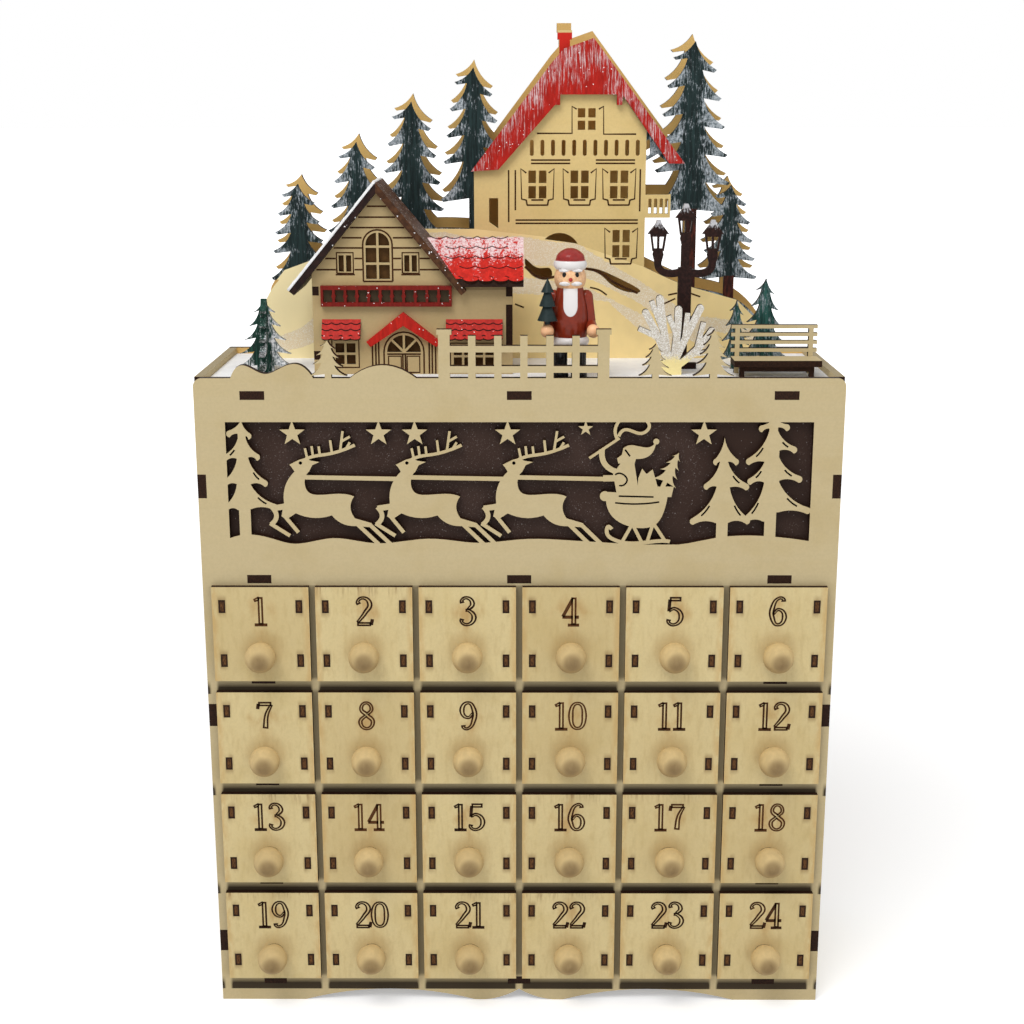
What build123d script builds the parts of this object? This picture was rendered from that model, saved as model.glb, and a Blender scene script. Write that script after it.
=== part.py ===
from build123d import *
from math import cos, hypot, pi, sin, sqrt
import os

# Wooden advent calendar: a plywood case of small drawers under a fretted light box, with a winter
# village standing in the shallow tray on top. Millimetres, +Z up, drawers facing -Y, origin in the
# middle of the footprint on the surface that the case stands on.
# "Depth" is measured back from the front face of the front panel, "height" up from the snow.

# Case
columns = 6
rows = 4
column_pitch = 49.0
row_pitch = 52.75
edge_margin = 3.0
case_depth = 100.0
case_ply = 4.0
base_height = 9.0
shelf_rise = 2.4
light_box_height = 84.0
rim_height = 6.0
shoulder_radius = 4.0
joint_fit = 0.1
tenon_width = 11.2
tenon_inset = 27.0
side_tenon_heights = (33.0, 153.4, 267.0)
arch_height = 6.0
arch_outer = 108.0
arch_inner = 22.0
cusp_half = 17.0
cusp_hollow = (0.45, 0.36)

# Drawers
column_gap = 3.0
row_gap = 5.75
front_lift = 0.7
front_gap = 0.3
run_gap = 0.3
thin_ply = 3.0
tray_inset = 3.25
tray_drop = 4.7
rear_gap = 3.0
tray_tenon = 6.2
tray_tenon_heights = (10.4, 37.4)
knob_radius = 7.25
knob_neck = 5.2
knob_length = 13.5
knob_drop = 9.5

# Light box
window_half = 136.0
window_sill = 15.0
window_head = 10.5
film_margin = 4.0
film_thickness = 0.4
strip_length = 240.0
strip_height = 8.0
strip_thickness = 1.6
strip_below_deck = 24.0
lamp_count = 8
lamp_size = 5.0
lamp_rise = 1.6

# Battery box in the back panel
cell_radius = 7.25
cell_length = 50.5
cell_clearance = 0.5
cell_nub_radius = 2.7
cell_nub_length = 1.4
box_wall = 1.5
spring_room = 3.0
switch_bay = 12.0
box_x = 62.0
box_above_floor = 4.0
flange = 1.2
flange_margin = 4.0
lid_thickness = 1.6
lid_gap = 0.25
lid_overlap = 1.5
lid_lip = 1.2
grip_width = 2.0
grip_rise = 0.9
grip_inset = 8.0
grip_count = 3
contact_leaf = 0.4
contact_height = 9.0
contact_depth = 6.0
switch_travel = 3.0
switch_nub = 3.0
switch_nub_height = 2.2
switch_nub_rise = 1.4
switch_plate = 1.0
switch_plate_margin = 2.5

# Village: places are drawn for a case of the drawn width
snow_thickness = 3.0
drawn_width = 300.0
scene_setback = 20.0
back_rise = 4.0
tab_width = 12.0
small_tab_width = 5.0
scene_tab_places = (-95.0, 5.0, 80.0)
lamp_place = (79.3, 45.0)
bush_place = (72.0, 28.0)
bench_place = (121.3, 18.0)
left_fir_place = (-122.0, 37.0)
right_fir_places = ((105.0, 46.0), (119.4, 51.0))
figure_place = (23.5, 17.0)

# Chalet: x is measured from its ridge, height from the snow
chalet_place = (-66.4, 30.0)
chalet_clearance = 17.0
chalet_left = -31.2
chalet_right = 63.2
chalet_tab_places = (-16.2, 46.4)
ridge_height = 89.9
roof_run = 41.5
roof_drop = 50.0
roof_overhang = 5.0
wing_wall_height = 46.0
wing_overhang = 5.2
wing_slope = 0.8
left_wall_tenons = ((7.0, 11.0), (37.5, 41.5))
wing_wall_tenons = ((14.0, 33.0), (37.0, 41.5))
balcony_left = -27.0
balcony_right = 34.6
balcony_low = 32.5
balcony_high = 42.2
baluster_count = 12
porch_x = 11.6
awning_spans = ((-26.9, -8.6), (31.7, 58.5))
awning_high = 26.2
awning_low = 18.2
awning_reach = 5.5
awning_board = 2.0

# Bench
bench_length = 41.0
bench_depth = 15.0
bench_seat_height = 8.2
bench_back_height = 23.1
slat_width = 1.7
slat_count = 4
bench_post = 2.2
bench_post_inset = 3.0

# Sizes worked out from those above
case_width = columns * column_pitch + 2 * edge_margin
inner_width = case_width - 2 * case_ply
rises = [0] + [shelf_rise] * (rows - 1) + [0]
floor_bottoms = [base_height + step * row_pitch + rise for step, rise in enumerate(rises)]
light_floor_top = floor_bottoms[rows] + case_ply
deck_bottom = light_floor_top + light_box_height
deck_top = deck_bottom + case_ply
snow_top = deck_top + snow_thickness
case_top = deck_top + rim_height
shelf_tenon_places = [tenon_inset - case_width / 2, case_width / 2 - tenon_inset]
tenon_places = shelf_tenon_places + [0]

front_width = column_pitch - column_gap
front_height = row_pitch - row_gap
tray_width = front_width - 2 * tray_inset
tray_bottom = run_gap
tray_reach = front_height - tray_drop
tray_back = case_depth - case_ply - rear_gap
opening_width = tray_width + 2 * run_gap
knob_height = front_height / 2 - knob_drop
column_places = [(column - (columns - 1) / 2) * column_pitch for column in range(columns)]
shelf_tops = [bottom + case_ply for bottom in floor_bottoms[:rows]]
front_lifts = [front_lift - rise for rise in rises[:rows]]
divider_places = [(place - (columns - 2) / 2) * column_pitch for place in range(columns - 1)]

lid_depth = case_depth + flange + lid_gap
rail_depth = lid_depth + lid_thickness + lid_gap + flange
face_y = (front_gap + thin_ply + knob_length - rail_depth) / 2
stretch = case_width / drawn_width
scene_depth = case_depth - scene_setback
mid_depth = case_depth / 2
tab_length = snow_thickness + case_ply

cavity_length = cell_length + spring_room
cavity_height = 4 * cell_radius + 3 * cell_clearance
cavity_depth = 2 * cell_radius + 2 * cell_clearance
box_length = cavity_length + switch_bay + 3 * box_wall
box_height = cavity_height + 2 * box_wall
box_left = box_x - box_length / 2
box_right = box_left + box_length
box_low = light_floor_top + box_above_floor
box_high = box_low + box_height
bay_left = box_left + box_wall
bay_right = bay_left + switch_bay
mouth_left = bay_right + box_wall
mouth_right = mouth_left + cavity_length
mouth_low = box_low + box_wall
mouth_high = mouth_low + cavity_height
lid_left = mouth_left - lid_overlap
lid_right = mouth_right + lid_overlap
lid_low = mouth_low - lid_overlap
lid_high = mouth_high + lid_overlap

chalet_x = chalet_place[0] * stretch
chalet_depth = chalet_place[1]
chalet_rear = scene_depth - chalet_clearance
chalet_middle = (chalet_depth + chalet_rear) / 2
roof_slope = roof_drop / roof_run
roof_length = hypot(roof_run, roof_drop)
roof_down = roof_drop / roof_length
roof_out = roof_run / roof_length
roof_thickness = thin_ply / roof_out
gable_top = ridge_height - roof_thickness - joint_fit / roof_out
wing_thickness = thin_ply * sqrt(1 + wing_slope ** 2)

tab_slots = [(place * stretch, scene_depth, tab_width) for place in scene_tab_places]
tab_slots += [(chalet_x + place, chalet_depth, tab_width) for place in chalet_tab_places]
for place, depth in (lamp_place, bush_place, left_fir_place, *right_fir_places):
    tab_slots.append((place * stretch, depth, small_tab_width))


def upright(depth):
    """Vertical plane at a depth behind the front face. A sketch there is drawn in x and z."""
    return Plane.XZ.offset(-(face_y + depth))


def level(height):
    """Flat plane at a height above the table. A sketch there is drawn in x and depth."""
    return Plane((0, face_y, height), x_dir=(1, 0, 0), z_dir=(0, 0, 1))


def across(x, height=0):
    """Vertical plane that faces along the case. A sketch there is drawn in depth and z."""
    return Plane((x, face_y, height), x_dir=(0, 1, 0), z_dir=(1, 0, 0))


def scenery(depth, x=0):
    """Vertical plane at a depth. A sketch there is drawn in x from a place and above the snow."""
    return Plane((x, face_y + depth, snow_top), x_dir=(1, 0, 0), z_dir=(0, -1, 0))


def span(x_low, x_high, z_low, z_high, mode=Mode.ADD):
    """Rectangle between two pairs of edges."""
    with Locations(((x_low + x_high) / 2, (z_low + z_high) / 2)):
        Rectangle(x_high - x_low, z_high - z_low, mode=mode)


def outline(points, mode=Mode.ADD):
    """Straight-sided face through the points."""
    Polygon(*points, align=None, mode=mode)


def stroke(points, width, mode=Mode.ADD):
    """Band of even width along a smooth line through the points."""
    with BuildLine() as path:
        if len(points) > 2:
            Spline(*points)
        else:
            Line(*points)
    trace(path.line, line_width=width, mode=mode)


def closed(points, mode=Mode.ADD):
    """Face inside a smooth closed line through the points."""
    with BuildLine() as path:
        Spline(*points, periodic=True)
    make_face(path.line, mode=mode)


def tabs(places, width):
    """Tabs below a standing plate, down through the snow and the deck."""
    for place in places:
        span(place - width / 2, place + width / 2, -tab_length, 0)


def group(*pieces):
    """Separate solids that share one node."""
    return Compound([solid for piece in pieces for solid in piece.solids()])


def write(piece, name):
    """Label a finished piece and store it."""
    piece.label = name
    export_step(piece, f"parts/{name}.step")


os.makedirs("parts", exist_ok=True)


# Outlines that more than one board uses
bough_tip_reach = 0.2
bough_sag = (0.38, 0.6)
star_waist = 0.4
snow_lobe = 1.6
lobe_foot = 1.5
lobe_under = (0.3, 2.0)
lobe_bulge = 0.7
lobe_sag = 0.9
slit_least = 4.0
slit_width = 0.8
# Places along a snowy bough, out from the trunk and down, of the slit that marks it
slit_run = ((0.28, 0.5), (0.44, 0.68), (0.62, 0.82))


def fir(height, spread, tiers, trunk, skirt, stagger=0.3, waist=0.42, lift=0.15, growth=1.0, tip=0.0):
    """Flat fir: boughs droop in tiers from the tip to the skirt, staggered left to right.

    A growth under 1 makes the upper boughs longer, and a tip above 0 makes their ends blunt.
    """
    drop = (height - skirt) / tiers
    with BuildSketch() as shape:
        with BuildLine():
            for side, shift in ((1, 0), (-1, stagger)):
                inner, top = 0, height
                for tier in range(1, tiers + 1):
                    lowest = tier == tiers
                    reach = spread * (bough_tip_reach + (1 - bough_tip_reach) * (tier / tiers) ** growth)
                    low = height - drop * (tier if lowest else tier - shift)
                    hollow = (inner + bough_sag[0] * (reach - inner), top + bough_sag[1] * (low - top))
                    middle = (side * hollow[0], hollow[1])
                    ThreePointArc((side * inner, top), middle, (side * reach, low))
                    inner = trunk / 2 if lowest else waist * reach
                    top = low + lift * (top - low) - tip
                    end = (side * reach, low)
                    if tip:
                        under = (side * (reach - tip), low - tip)
                        Line(end, under)
                        end = under
                    Line(end, (side * inner, top))
                Polyline((side * inner, top), (side * inner, 0), (0, 0))
        make_face()
    return shape.sketch


def snowy_bough(side, core, top, reach, low):
    """Half a tier of a snow-laden fir, with a round end. A long bough is marked with a slit."""
    def at(x, height):
        return (side * x, height)
    out, down = reach - core, low - top
    foot = low - lobe_foot * snow_lobe
    with BuildLine() as edge:
        ThreePointArc(at(core, top), at(core + bough_sag[0] * out, top + bough_sag[1] * down), at(reach, low))
        under = (reach - lobe_under[0] * snow_lobe, low - lobe_under[1] * snow_lobe)
        bulge = (reach + lobe_bulge * snow_lobe, low - snow_lobe)
        sag = ((under[0] + core) / 2, low - lobe_sag * snow_lobe)
        ThreePointArc(at(reach, low), at(*bulge), at(*under))
        ThreePointArc(at(*under), at(*sag), at(core, foot))
        if core:
            Polyline(at(core, foot), (0, foot), (0, top), at(core, top))
        else:
            Line((0, foot), (0, top))
    make_face(edge.edges())
    if out > slit_least * snow_lobe:
        slit = [at(core + part * out, top + share * down - snow_lobe) for part, share in slit_run]
        stroke(slit, slit_width, Mode.SUBTRACT)


def snowy_fir(trunk, tiers):
    """Snow-laden fir. Each tier has its core, its top, and its left and right boughs' reach and height."""
    with BuildSketch() as shape:
        bough_level = None
        for core, top, left, right in tiers:
            snowy_bough(-1, core, top, *left)
            snowy_bough(1, core, top, *right)
            if bough_level:
                span(-core, core, top - snow_lobe, bough_level)
            bough_level = max(left[1], right[1])
        span(-trunk / 2, trunk / 2, 0, top)
    return shape.sketch


def star(radius):
    """Five-pointed star, one point up."""
    points = []
    for corner in range(10):
        reach = radius if corner % 2 == 0 else star_waist * radius
        points.append((reach * sin(corner * pi / 5), reach * cos(corner * pi / 5)))
    with BuildSketch() as shape:
        outline(points)
    return shape.sketch


def deer():
    """Leaping deer seen from the side, facing left, drawn from its nose and above the sill."""
    with BuildSketch() as shape:
        with BuildLine():
            Polyline((2.3, 34.1), (1.0, 36.3), (0, 37.4), (4.5, 39.7), (7.6, 40.6))
            Polyline((7.6, 40.6), (10.1, 39.3), (14.1, 38.7), (10.7, 37.2), (9.1, 34.1))
            Spline((9.1, 34.1), (6.9, 29.7), (8.5, 24.3), (14.8, 23.0), (26.7, 23.2), (29.8, 22.2))
            Spline((29.8, 22.2), (28.0, 18.0), (29.9, 11.7))
            Polyline((29.9, 11.7), (37.8, 9.3), (36.6, 7.4), (30.4, 7.9))
            Spline((30.4, 7.9), (23.5, 9.3), (19.1, 13.1))
            Spline((19.1, 13.1), (11.5, 11.8), (2.3, 14.1))
            Polyline((2.3, 14.1), (-2.1, 11.2), (-4.5, 12.6), (-3.1, 19.3))
            Spline((-3.1, 19.3), (-2.4, 26.8), (2.3, 34.1))
        make_face()
        stroke([(-1.5, 17.6), (-8.9, 16.4)], 2.8)
        stroke([(-9.0, 17.2), (-6.9, 12.4), (-9.6, 8.6)], 2.2)
        stroke([(-10.0, 9.2), (-0.8, 3.2)], 1.8)
        stroke([(-3.2, 13.0), (3.2, 4.8)], 1.8)
        stroke([(31.0, 8.8), (40.8, -0.9)], 1.9)
        stroke([(36.8, 8.6), (46.4, -0.9)], 1.9)
        stroke([(7.6, 40.0), (12.5, 41.6), (18.1, 42.4), (24.4, 44.1), (30.7, 46.7)], 1.5)
        tines = [
            [(8.3, 41.0), (7.5, 45.2)],
            [(11.2, 41.2), (10.6, 46.2)],
            [(14.4, 41.7), (13.9, 46.1)],
            [(20.0, 42.6), (19.3, 49.0)],
            [(23.8, 43.8), (25.2, 53.3)],
            [(24.5, 48.4), (28.5, 50.7)],
            [(26.4, 44.7), (28.4, 48.0)],
        ]
        for tine in tines:
            stroke(tine, 1.15)
        with Locations((5.2, 38.2)):
            Circle(slit_width, mode=Mode.SUBTRACT)
    return shape.sketch


def sleigh():
    """Horse-high sleigh with a driver, a sack and a young fir, drawn about the window's middle."""
    young_fir = fir(20.0, 6.0, 4, 2.2, 4.0)
    with BuildSketch() as shape:
        with BuildLine():
            Line((41.0, 24.4), (69.3, 23.4))
            Spline((69.3, 23.4), (68.0, 16.0), (64.1, 8.9), (51.0, 8.0), (45.2, 11.0), (41.0, 24.4))
        make_face()
        with Locations((40.0, 22.4)):
            Circle(2.4)
        stroke([(43.4, 6.4), (41.6, 7.6), (41.1, 4.9), (44.9, 1.2), (51.8, -0.4), (70.8, 0.4)], 1.8)
        for strut in ([(53.0, 9.0), (48.2, 0.0)], [(53.0, 9.0), (57.6, 0.0)],
                      [(62.8, 9.4), (60.0, 0.0)], [(62.8, 9.4), (68.6, 0.6)]):
            stroke(strut, 1.6)
        outline([(45.6, 23.0), (43.6, 33.0), (47.0, 38.0), (53.4, 38.4), (56.0, 23.0)])
        stroke([(46.0, 31.0), (39.0, 30.9)], 3.0)
        stroke([(45.5, 34.0), (39.6, 38.0), (38.4, 44.6)], 2.6)
        outline([(46.0, 38.0), (45.4, 40.4), (47.6, 42.2), (48.2, 45.2), (54.4, 41.0), (53.4, 37.4)])
        with BuildLine():
            Spline((48.0, 45.0), (53.2, 46.6), (58.8, 45.6), (63.4, 48.4))
            Spline((63.4, 48.4), (60.7, 42.0), (53.6, 40.2))
            Line((53.6, 40.2), (48.0, 45.0))
        make_face()
        with Locations((63.4, 48.4)):
            Circle(1.4)
        stroke([(32.5, 40.5), (46.4, 50.0)], 1.3)
        stroke([(45.6, 49.2), (44.3, 53.0), (46.6, 58.6)], 1.5)
        stroke([(46.0, 50.8), (49.7, 54.0), (56.8, 52.3), (59.8, 54.6), (58.2, 58.6)], 1.5)
        outline([(55.0, 22.0), (55.4, 31.0), (57.1, 35.6), (59.2, 33.0), (62.0, 35.2), (66.0, 22.0)])
        with Locations(Location((66.0, 25.0), (0, 0, -24))):
            add(young_fir)
        outline([(63.0, 22.0), (63.0, 27.0), (72.0, 27.0), (71.0, 22.0)])
        slits = [
            [(46.4, 22.4), (62.7, 22.0)],
            [(44.8, 19.2), (54.0, 18.6), (65.4, 19.6)],
            [(44.6, 32.6), (48.6, 32.6), (50.2, 30.0), (48.4, 27.6), (46.6, 27.6)],
            [(49.0, 44.6), (51.4, 41.4)],
        ]
        for slit in slits:
            stroke(slit, slit_width, Mode.SUBTRACT)
    return shape.sketch


# Front panel skyline and fretwork
window_bottom = light_floor_top + window_sill
window_top = deck_bottom - window_head
star_radius = 6.2
small_star_radius = 3.6
deer_shape = deer()
sleigh_shape = sleigh()
star_shape = star(star_radius)
small_star = star(small_star_radius)
deer_noses = (-106.9, -57.4, -7.7)
star_places = (-105.1, -65.1, -48.4, -5.4, 85.4)
small_star_place = 30.7
star_drop = 5.4
small_star_drop = 3.0
rein_ahead = 2.0
rein_behind = 6.0
rein_heights = (32.4, 31.6)
rein_width = 2.1
driver_hand = 40.0
fret_lift = 1.0
# How far a shape that stands on an edge runs into the board below it
root = 1.0
window_fir_trunk = 5.4
window_left_fir = snowy_fir(window_fir_trunk, (
    (0, 59.4, (6.0, 54.5), (3.4, 53.5)),
    (1.8, 51.0, (8.4, 43.0), (7.0, 43.5)),
    (2.6, 41.5, (8.8, 31.0), (10.2, 31.0)),
    (3.2, 29.0, (8.8, 19.0), (14.6, 19.5)),
))
window_right_fir = snowy_fir(window_fir_trunk, (
    (0, 51.3, (3.9, 41.3), (5.8, 41.3)),
    (1.8, 40.0, (8.0, 29.6), (11.0, 29.4)),
    (3.0, 28.0, (14.0, 12.8), (12.0, 13.0)),
))
window_tall_fir = snowy_fir(window_fir_trunk, (
    (0, 60.5, (5.8, 57.0), (6.3, 57.5)),
    (2.0, 54.5, (11.2, 41.5), (10.1, 47.0)),
    (3.0, 42.0, (10.2, 32.0), (13.1, 33.0)),
    (3.5, 30.0, (12.0, 13.6), (17.6, 18.0)),
))
window_fir_places = ((window_left_fir, -128.5), (window_right_fir, 95.0), (window_tall_fir, 117.5))
snow_line = [
    (-window_half, 3.0), (-116.7, 3.0), (-107.0, 0.4), (-88.1, 3.0), (-68.2, 0.6), (-42.0, 2.8),
    (-20.0, 0.8), (2.0, 2.6), (24.0, 2.0), (46.0, 0.6), (78.0, 0.4), (93.0, 3.4), (120.0, 3.8),
    (window_half, 1.7),
]
drift_left = [(-133.0, -1.0), (-125.3, 5.7), (-116.8, 2.0), (-108.4, 5.2), (-94.0, -1.0)]
drift_right = [(-79.0, -1.0), (-63.6, 6.0), (-46.0, -1.0)]
skyline_firs = (
    (fir(19.6, 8.7, 4, 3.0, 3.0), -87.7),
    (fir(17.6, 7.6, 4, 3.0, 3.0), 62.4),
    (fir(24.3, 9.4, 5, 3.4, 3.0), 89.0),
)
fir_sink = 2.0
fence_x = 2.1
fence_half = 36.5
post_width = 5.3
post_height = 22.4
post_cap = 6.9
post_cap_height = 2.4
picket_pitch = 11.9
picket_width = 3.4
picket_height = 19.5
rail_bands = ((2.5, 5.6), (11.9, 14.9))
pickets_each_side = 2


def panel_joints():
    """Slots for the floor tenons and notches for the side panel tenons, cut from a sketch."""
    half = tenon_width / 2 + joint_fit
    for bottom in floor_bottoms + [deck_bottom]:
        places = shelf_tenon_places if bottom in floor_bottoms[1:rows] else tenon_places
        for place in places:
            span(place - half, place + half, bottom - joint_fit, bottom + case_ply, Mode.SUBTRACT)
    notch = tenon_width / 2 + joint_fit
    for height in side_tenon_heights:
        for edge in (-1, 1):
            outer = edge * case_width / 2
            inner = edge * (case_width / 2 - case_ply - joint_fit)
            low, high = min(outer, inner), max(outer, inner)
            span(low, high, height - notch, height + notch, Mode.SUBTRACT)


with BuildPart() as front_panel:
    with BuildSketch(upright(case_ply)) as front_sketch:
        half_width = case_width / 2
        span(-half_width, half_width, 0, case_top)
        fillet(front_sketch.vertices().group_by(Axis.Y)[-1], shoulder_radius)
        # Snow drifts, fence and firs that stand up in front of the village
        for drift in (drift_left, drift_right):
            ridge = [(x * stretch, case_top + rise) for x, rise in drift]
            with BuildLine():
                Spline(*ridge)
                Line(ridge[-1], ridge[0])
            make_face()
        for shape, place in skyline_firs:
            with Locations((place * stretch, case_top - fir_sink)):
                add(shape)
        for band_low, band_high in rail_bands:
            span(fence_x - fence_half, fence_x + fence_half, case_top + band_low, case_top + band_high)
        for picket in range(-pickets_each_side, pickets_each_side + 1):
            middle = fence_x + picket * picket_pitch
            reach = picket_width / 2
            span(middle - reach, middle + reach, case_top - root, case_top + picket_height)
        for edge in (-1, 1):
            middle = fence_x + edge * fence_half
            reach = post_width / 2
            span(middle - reach, middle + reach, case_top - root, case_top + post_height)
            cap = post_cap / 2
            cap_low = case_top + post_height - post_cap_height
            span(middle - cap, middle + cap, cap_low, case_top + post_height)
        # Arches between the feet, meeting in a cusp
        for edge in (-1, 1):
            with BuildLine():
                crown = edge * stretch * (arch_outer + arch_inner) / 2
                start = (edge * arch_outer * stretch, 0)
                end = (edge * arch_inner * stretch, 0)
                ThreePointArc(start, (crown, arch_height), end)
                Line(end, start)
            make_face(mode=Mode.SUBTRACT)
        with BuildLine():
            hollow = (cusp_hollow[0] * cusp_half, cusp_hollow[1] * arch_height)
            ThreePointArc((-cusp_half, 0), (-hollow[0], hollow[1]), (0, arch_height))
            ThreePointArc((0, arch_height), hollow, (cusp_half, 0))
            Line((cusp_half, 0), (-cusp_half, 0))
        make_face(mode=Mode.SUBTRACT)
        panel_joints()
        for top, lift in zip(shelf_tops, front_lifts):
            opening_top = top + lift + tray_reach + run_gap
            for place in column_places:
                half = opening_width / 2
                span(place - half, place + half, top, opening_top, Mode.SUBTRACT)
        # Window with its fretted scene
        span(-window_half * stretch, window_half * stretch, window_bottom, window_top, Mode.SUBTRACT)
        with BuildLine():
            ground = [(x * stretch, window_bottom + rise) for x, rise in snow_line]
            Spline(*ground)
            low_left = (ground[0][0], window_bottom - root)
            low_right = (ground[-1][0], window_bottom - root)
            Polyline(ground[-1], low_right, low_left, ground[0])
        make_face()
        for nose in deer_noses:
            with Locations((nose * stretch, window_bottom + fret_lift)):
                add(deer_shape)
        with Locations((0, window_bottom + fret_lift)):
            add(sleigh_shape)
        for shape, place in window_fir_places:
            with Locations((place * stretch, window_bottom)):
                add(shape)
        for place in star_places:
            with Locations((place * stretch, window_top - star_drop)):
                add(star_shape)
        with Locations((small_star_place * stretch, window_top - small_star_drop)):
            add(small_star)
        rein_starts = [nose + rein_behind for nose in deer_noses]
        rein_ends = [nose + rein_ahead for nose in deer_noses[1:]] + [driver_hand]
        for ends in zip(rein_starts, rein_ends):
            rein = [(x * stretch, window_bottom + rise) for x, rise in zip(ends, rein_heights)]
            stroke(rein, rein_width)
    extrude(amount=case_ply)
write(front_panel.part, "front_panel")


# Case boards


def board_outline(places):
    """Board between the side panels, with tenons through the front and back panels."""
    span(-inner_width / 2, inner_width / 2, case_ply, case_depth - case_ply)
    for place in places:
        span(place - tenon_width / 2, place + tenon_width / 2, 0, case_depth)


def cut_tab_slots():
    """Slots for the tabs of the plates that stand in the snow."""
    for place, depth, width in tab_slots:
        reach = width / 2 + joint_fit
        rear = depth + thin_ply + joint_fit
        span(place - reach, place + reach, depth - joint_fit, rear, Mode.SUBTRACT)


def side_outline():
    """Side panel, with tenons through the edges of the front and back panels."""
    span(case_ply, case_depth - case_ply, 0, case_top)
    for height in side_tenon_heights:
        span(0, case_depth, height - tenon_width / 2, height + tenon_width / 2)


with BuildPart() as left_side:
    with BuildSketch(across(-case_width / 2)):
        side_outline()
    extrude(amount=case_ply)
write(left_side.part, "left_side")

with BuildPart() as right_side:
    with BuildSketch(across(case_width / 2 - case_ply)):
        side_outline()
    extrude(amount=case_ply)
write(right_side.part, "right_side")

with BuildPart() as base_board:
    with BuildSketch(level(floor_bottoms[0])):
        board_outline(tenon_places)
    extrude(amount=case_ply)
write(base_board.part, "base_board")

# Shelves are slotted from the rear and dividers from the front, so that they cross half and half
with BuildPart() as drawer_shelves:
    for bottom in floor_bottoms[1:rows]:
        with BuildSketch(level(bottom)):
            board_outline(shelf_tenon_places)
            for place in divider_places:
                reach = case_ply / 2 + joint_fit
                span(place - reach, place + reach, mid_depth, case_depth - case_ply, Mode.SUBTRACT)
        extrude(amount=case_ply)
write(drawer_shelves.part, "drawer_shelves")

with BuildPart() as column_dividers:
    for place in divider_places:
        with BuildSketch(across(place - case_ply / 2)):
            span(case_ply, case_depth - case_ply, shelf_tops[0], floor_bottoms[rows])
            for bottom in floor_bottoms[1:rows]:
                low = bottom - joint_fit
                high = bottom + case_ply + joint_fit
                span(case_ply, mid_depth, low, high, Mode.SUBTRACT)
        extrude(amount=case_ply)
write(column_dividers.part, "column_dividers")

with BuildPart() as light_box_floor:
    with BuildSketch(level(floor_bottoms[rows])):
        board_outline(tenon_places)
    extrude(amount=case_ply)
write(light_box_floor.part, "light_box_floor")

with BuildPart() as top_deck:
    with BuildSketch(level(deck_bottom)):
        board_outline(tenon_places)
        cut_tab_slots()
    extrude(amount=case_ply)
write(top_deck.part, "top_deck")

with BuildPart() as snow_sheet:
    with BuildSketch(level(deck_top)):
        reach = inner_width / 2 - joint_fit
        span(-reach, reach, case_ply + joint_fit, case_depth - case_ply - joint_fit)
        cut_tab_slots()
    extrude(amount=snow_thickness)
write(snow_sheet.part, "snow_sheet")

# Drawers: one set of pieces above a shelf, repeated along the row


def tray_slots(lift):
    """Slots for the tenons of the drawer sides."""
    reach = tray_tenon / 2 + joint_fit
    for edge in (-1, 1):
        middle = edge * (tray_width - thin_ply) / 2
        half = thin_ply / 2 + joint_fit
        for height in tray_tenon_heights:
            span(
                middle - half,
                middle + half,
                lift + height - reach,
                lift + height + reach,
                Mode.SUBTRACT,
            )


def drawer_pieces(lift):
    """Pieces of one drawer, with its front the given height above the shelf."""
    tray_top = lift + tray_reach
    with BuildPart() as drawer_front:
        with BuildSketch(upright(-front_gap)):
            span(-front_width / 2, front_width / 2, lift, lift + front_height)
            tray_slots(lift)
        extrude(amount=thin_ply)

    with BuildPart() as drawer_sides:
        for edge in (-tray_width / 2, tray_width / 2 - thin_ply):
            with BuildSketch(across(edge)):
                span(-front_gap, tray_back - thin_ply, tray_bottom, tray_top)
                for height in tray_tenon_heights:
                    low = lift + height - tray_tenon / 2
                    span(-front_gap - thin_ply, tray_back, low, low + tray_tenon)
            extrude(amount=thin_ply)

    with BuildPart() as drawer_back:
        with BuildSketch(upright(tray_back)):
            span(-tray_width / 2, tray_width / 2, tray_bottom, tray_top)
            tray_slots(lift)
        extrude(amount=thin_ply)

    with BuildPart() as drawer_floor:
        with BuildSketch(level(tray_bottom)):
            reach = tray_width / 2 - thin_ply
            span(-reach, reach, -front_gap, tray_back - thin_ply)
        extrude(amount=thin_ply)

    # Turned ball knob on a short neck, glued to the drawer front
    seat = (0, face_y - front_gap - thin_ply, lift + knob_height)
    with BuildPart() as drawer_knob:
        with BuildSketch(Plane(seat, x_dir=(1, 0, 0), z_dir=(0, 0, 1))):
            with BuildLine():
                ball_middle = knob_length - knob_radius
                neck_end = (knob_neck, sqrt(knob_radius ** 2 - knob_neck ** 2) - ball_middle)
                Polyline((0, -knob_length), (0, 0), (knob_neck, 0), neck_end)
                ThreePointArc(neck_end, (knob_radius, -ball_middle), (0, -knob_length))
            make_face()
        revolve(axis=Axis(seat, (0, 1, 0)))
    return drawer_front, drawer_sides, drawer_back, drawer_floor, drawer_knob


number = 0
for top, lift in reversed(list(zip(shelf_tops, front_lifts))):
    pieces = drawer_pieces(lift)
    for place in column_places:
        number += 1
        seat = Location((place, 0, top))
        drawer = group(*(piece.part.moved(seat) for piece in pieces))
        write(drawer, f"drawer_{number:02d}")

# Light box: dark film behind the window, a strip of lamps on the back panel
with BuildPart() as window_film:
    with BuildSketch(upright(case_ply + film_thickness)):
        reach = window_half * stretch + film_margin
        span(-reach, reach, window_bottom - film_margin, window_top + film_margin)
    extrude(amount=film_thickness)
write(window_film.part, "window_film")

strip_face = case_depth - case_ply - strip_thickness
strip_middle = deck_bottom - strip_below_deck - strip_height / 2
with BuildPart() as strip_board:
    with BuildSketch(upright(case_depth - case_ply)):
        with Locations((0, strip_middle)):
            Rectangle(strip_length, strip_height)
    extrude(amount=strip_thickness)

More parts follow.
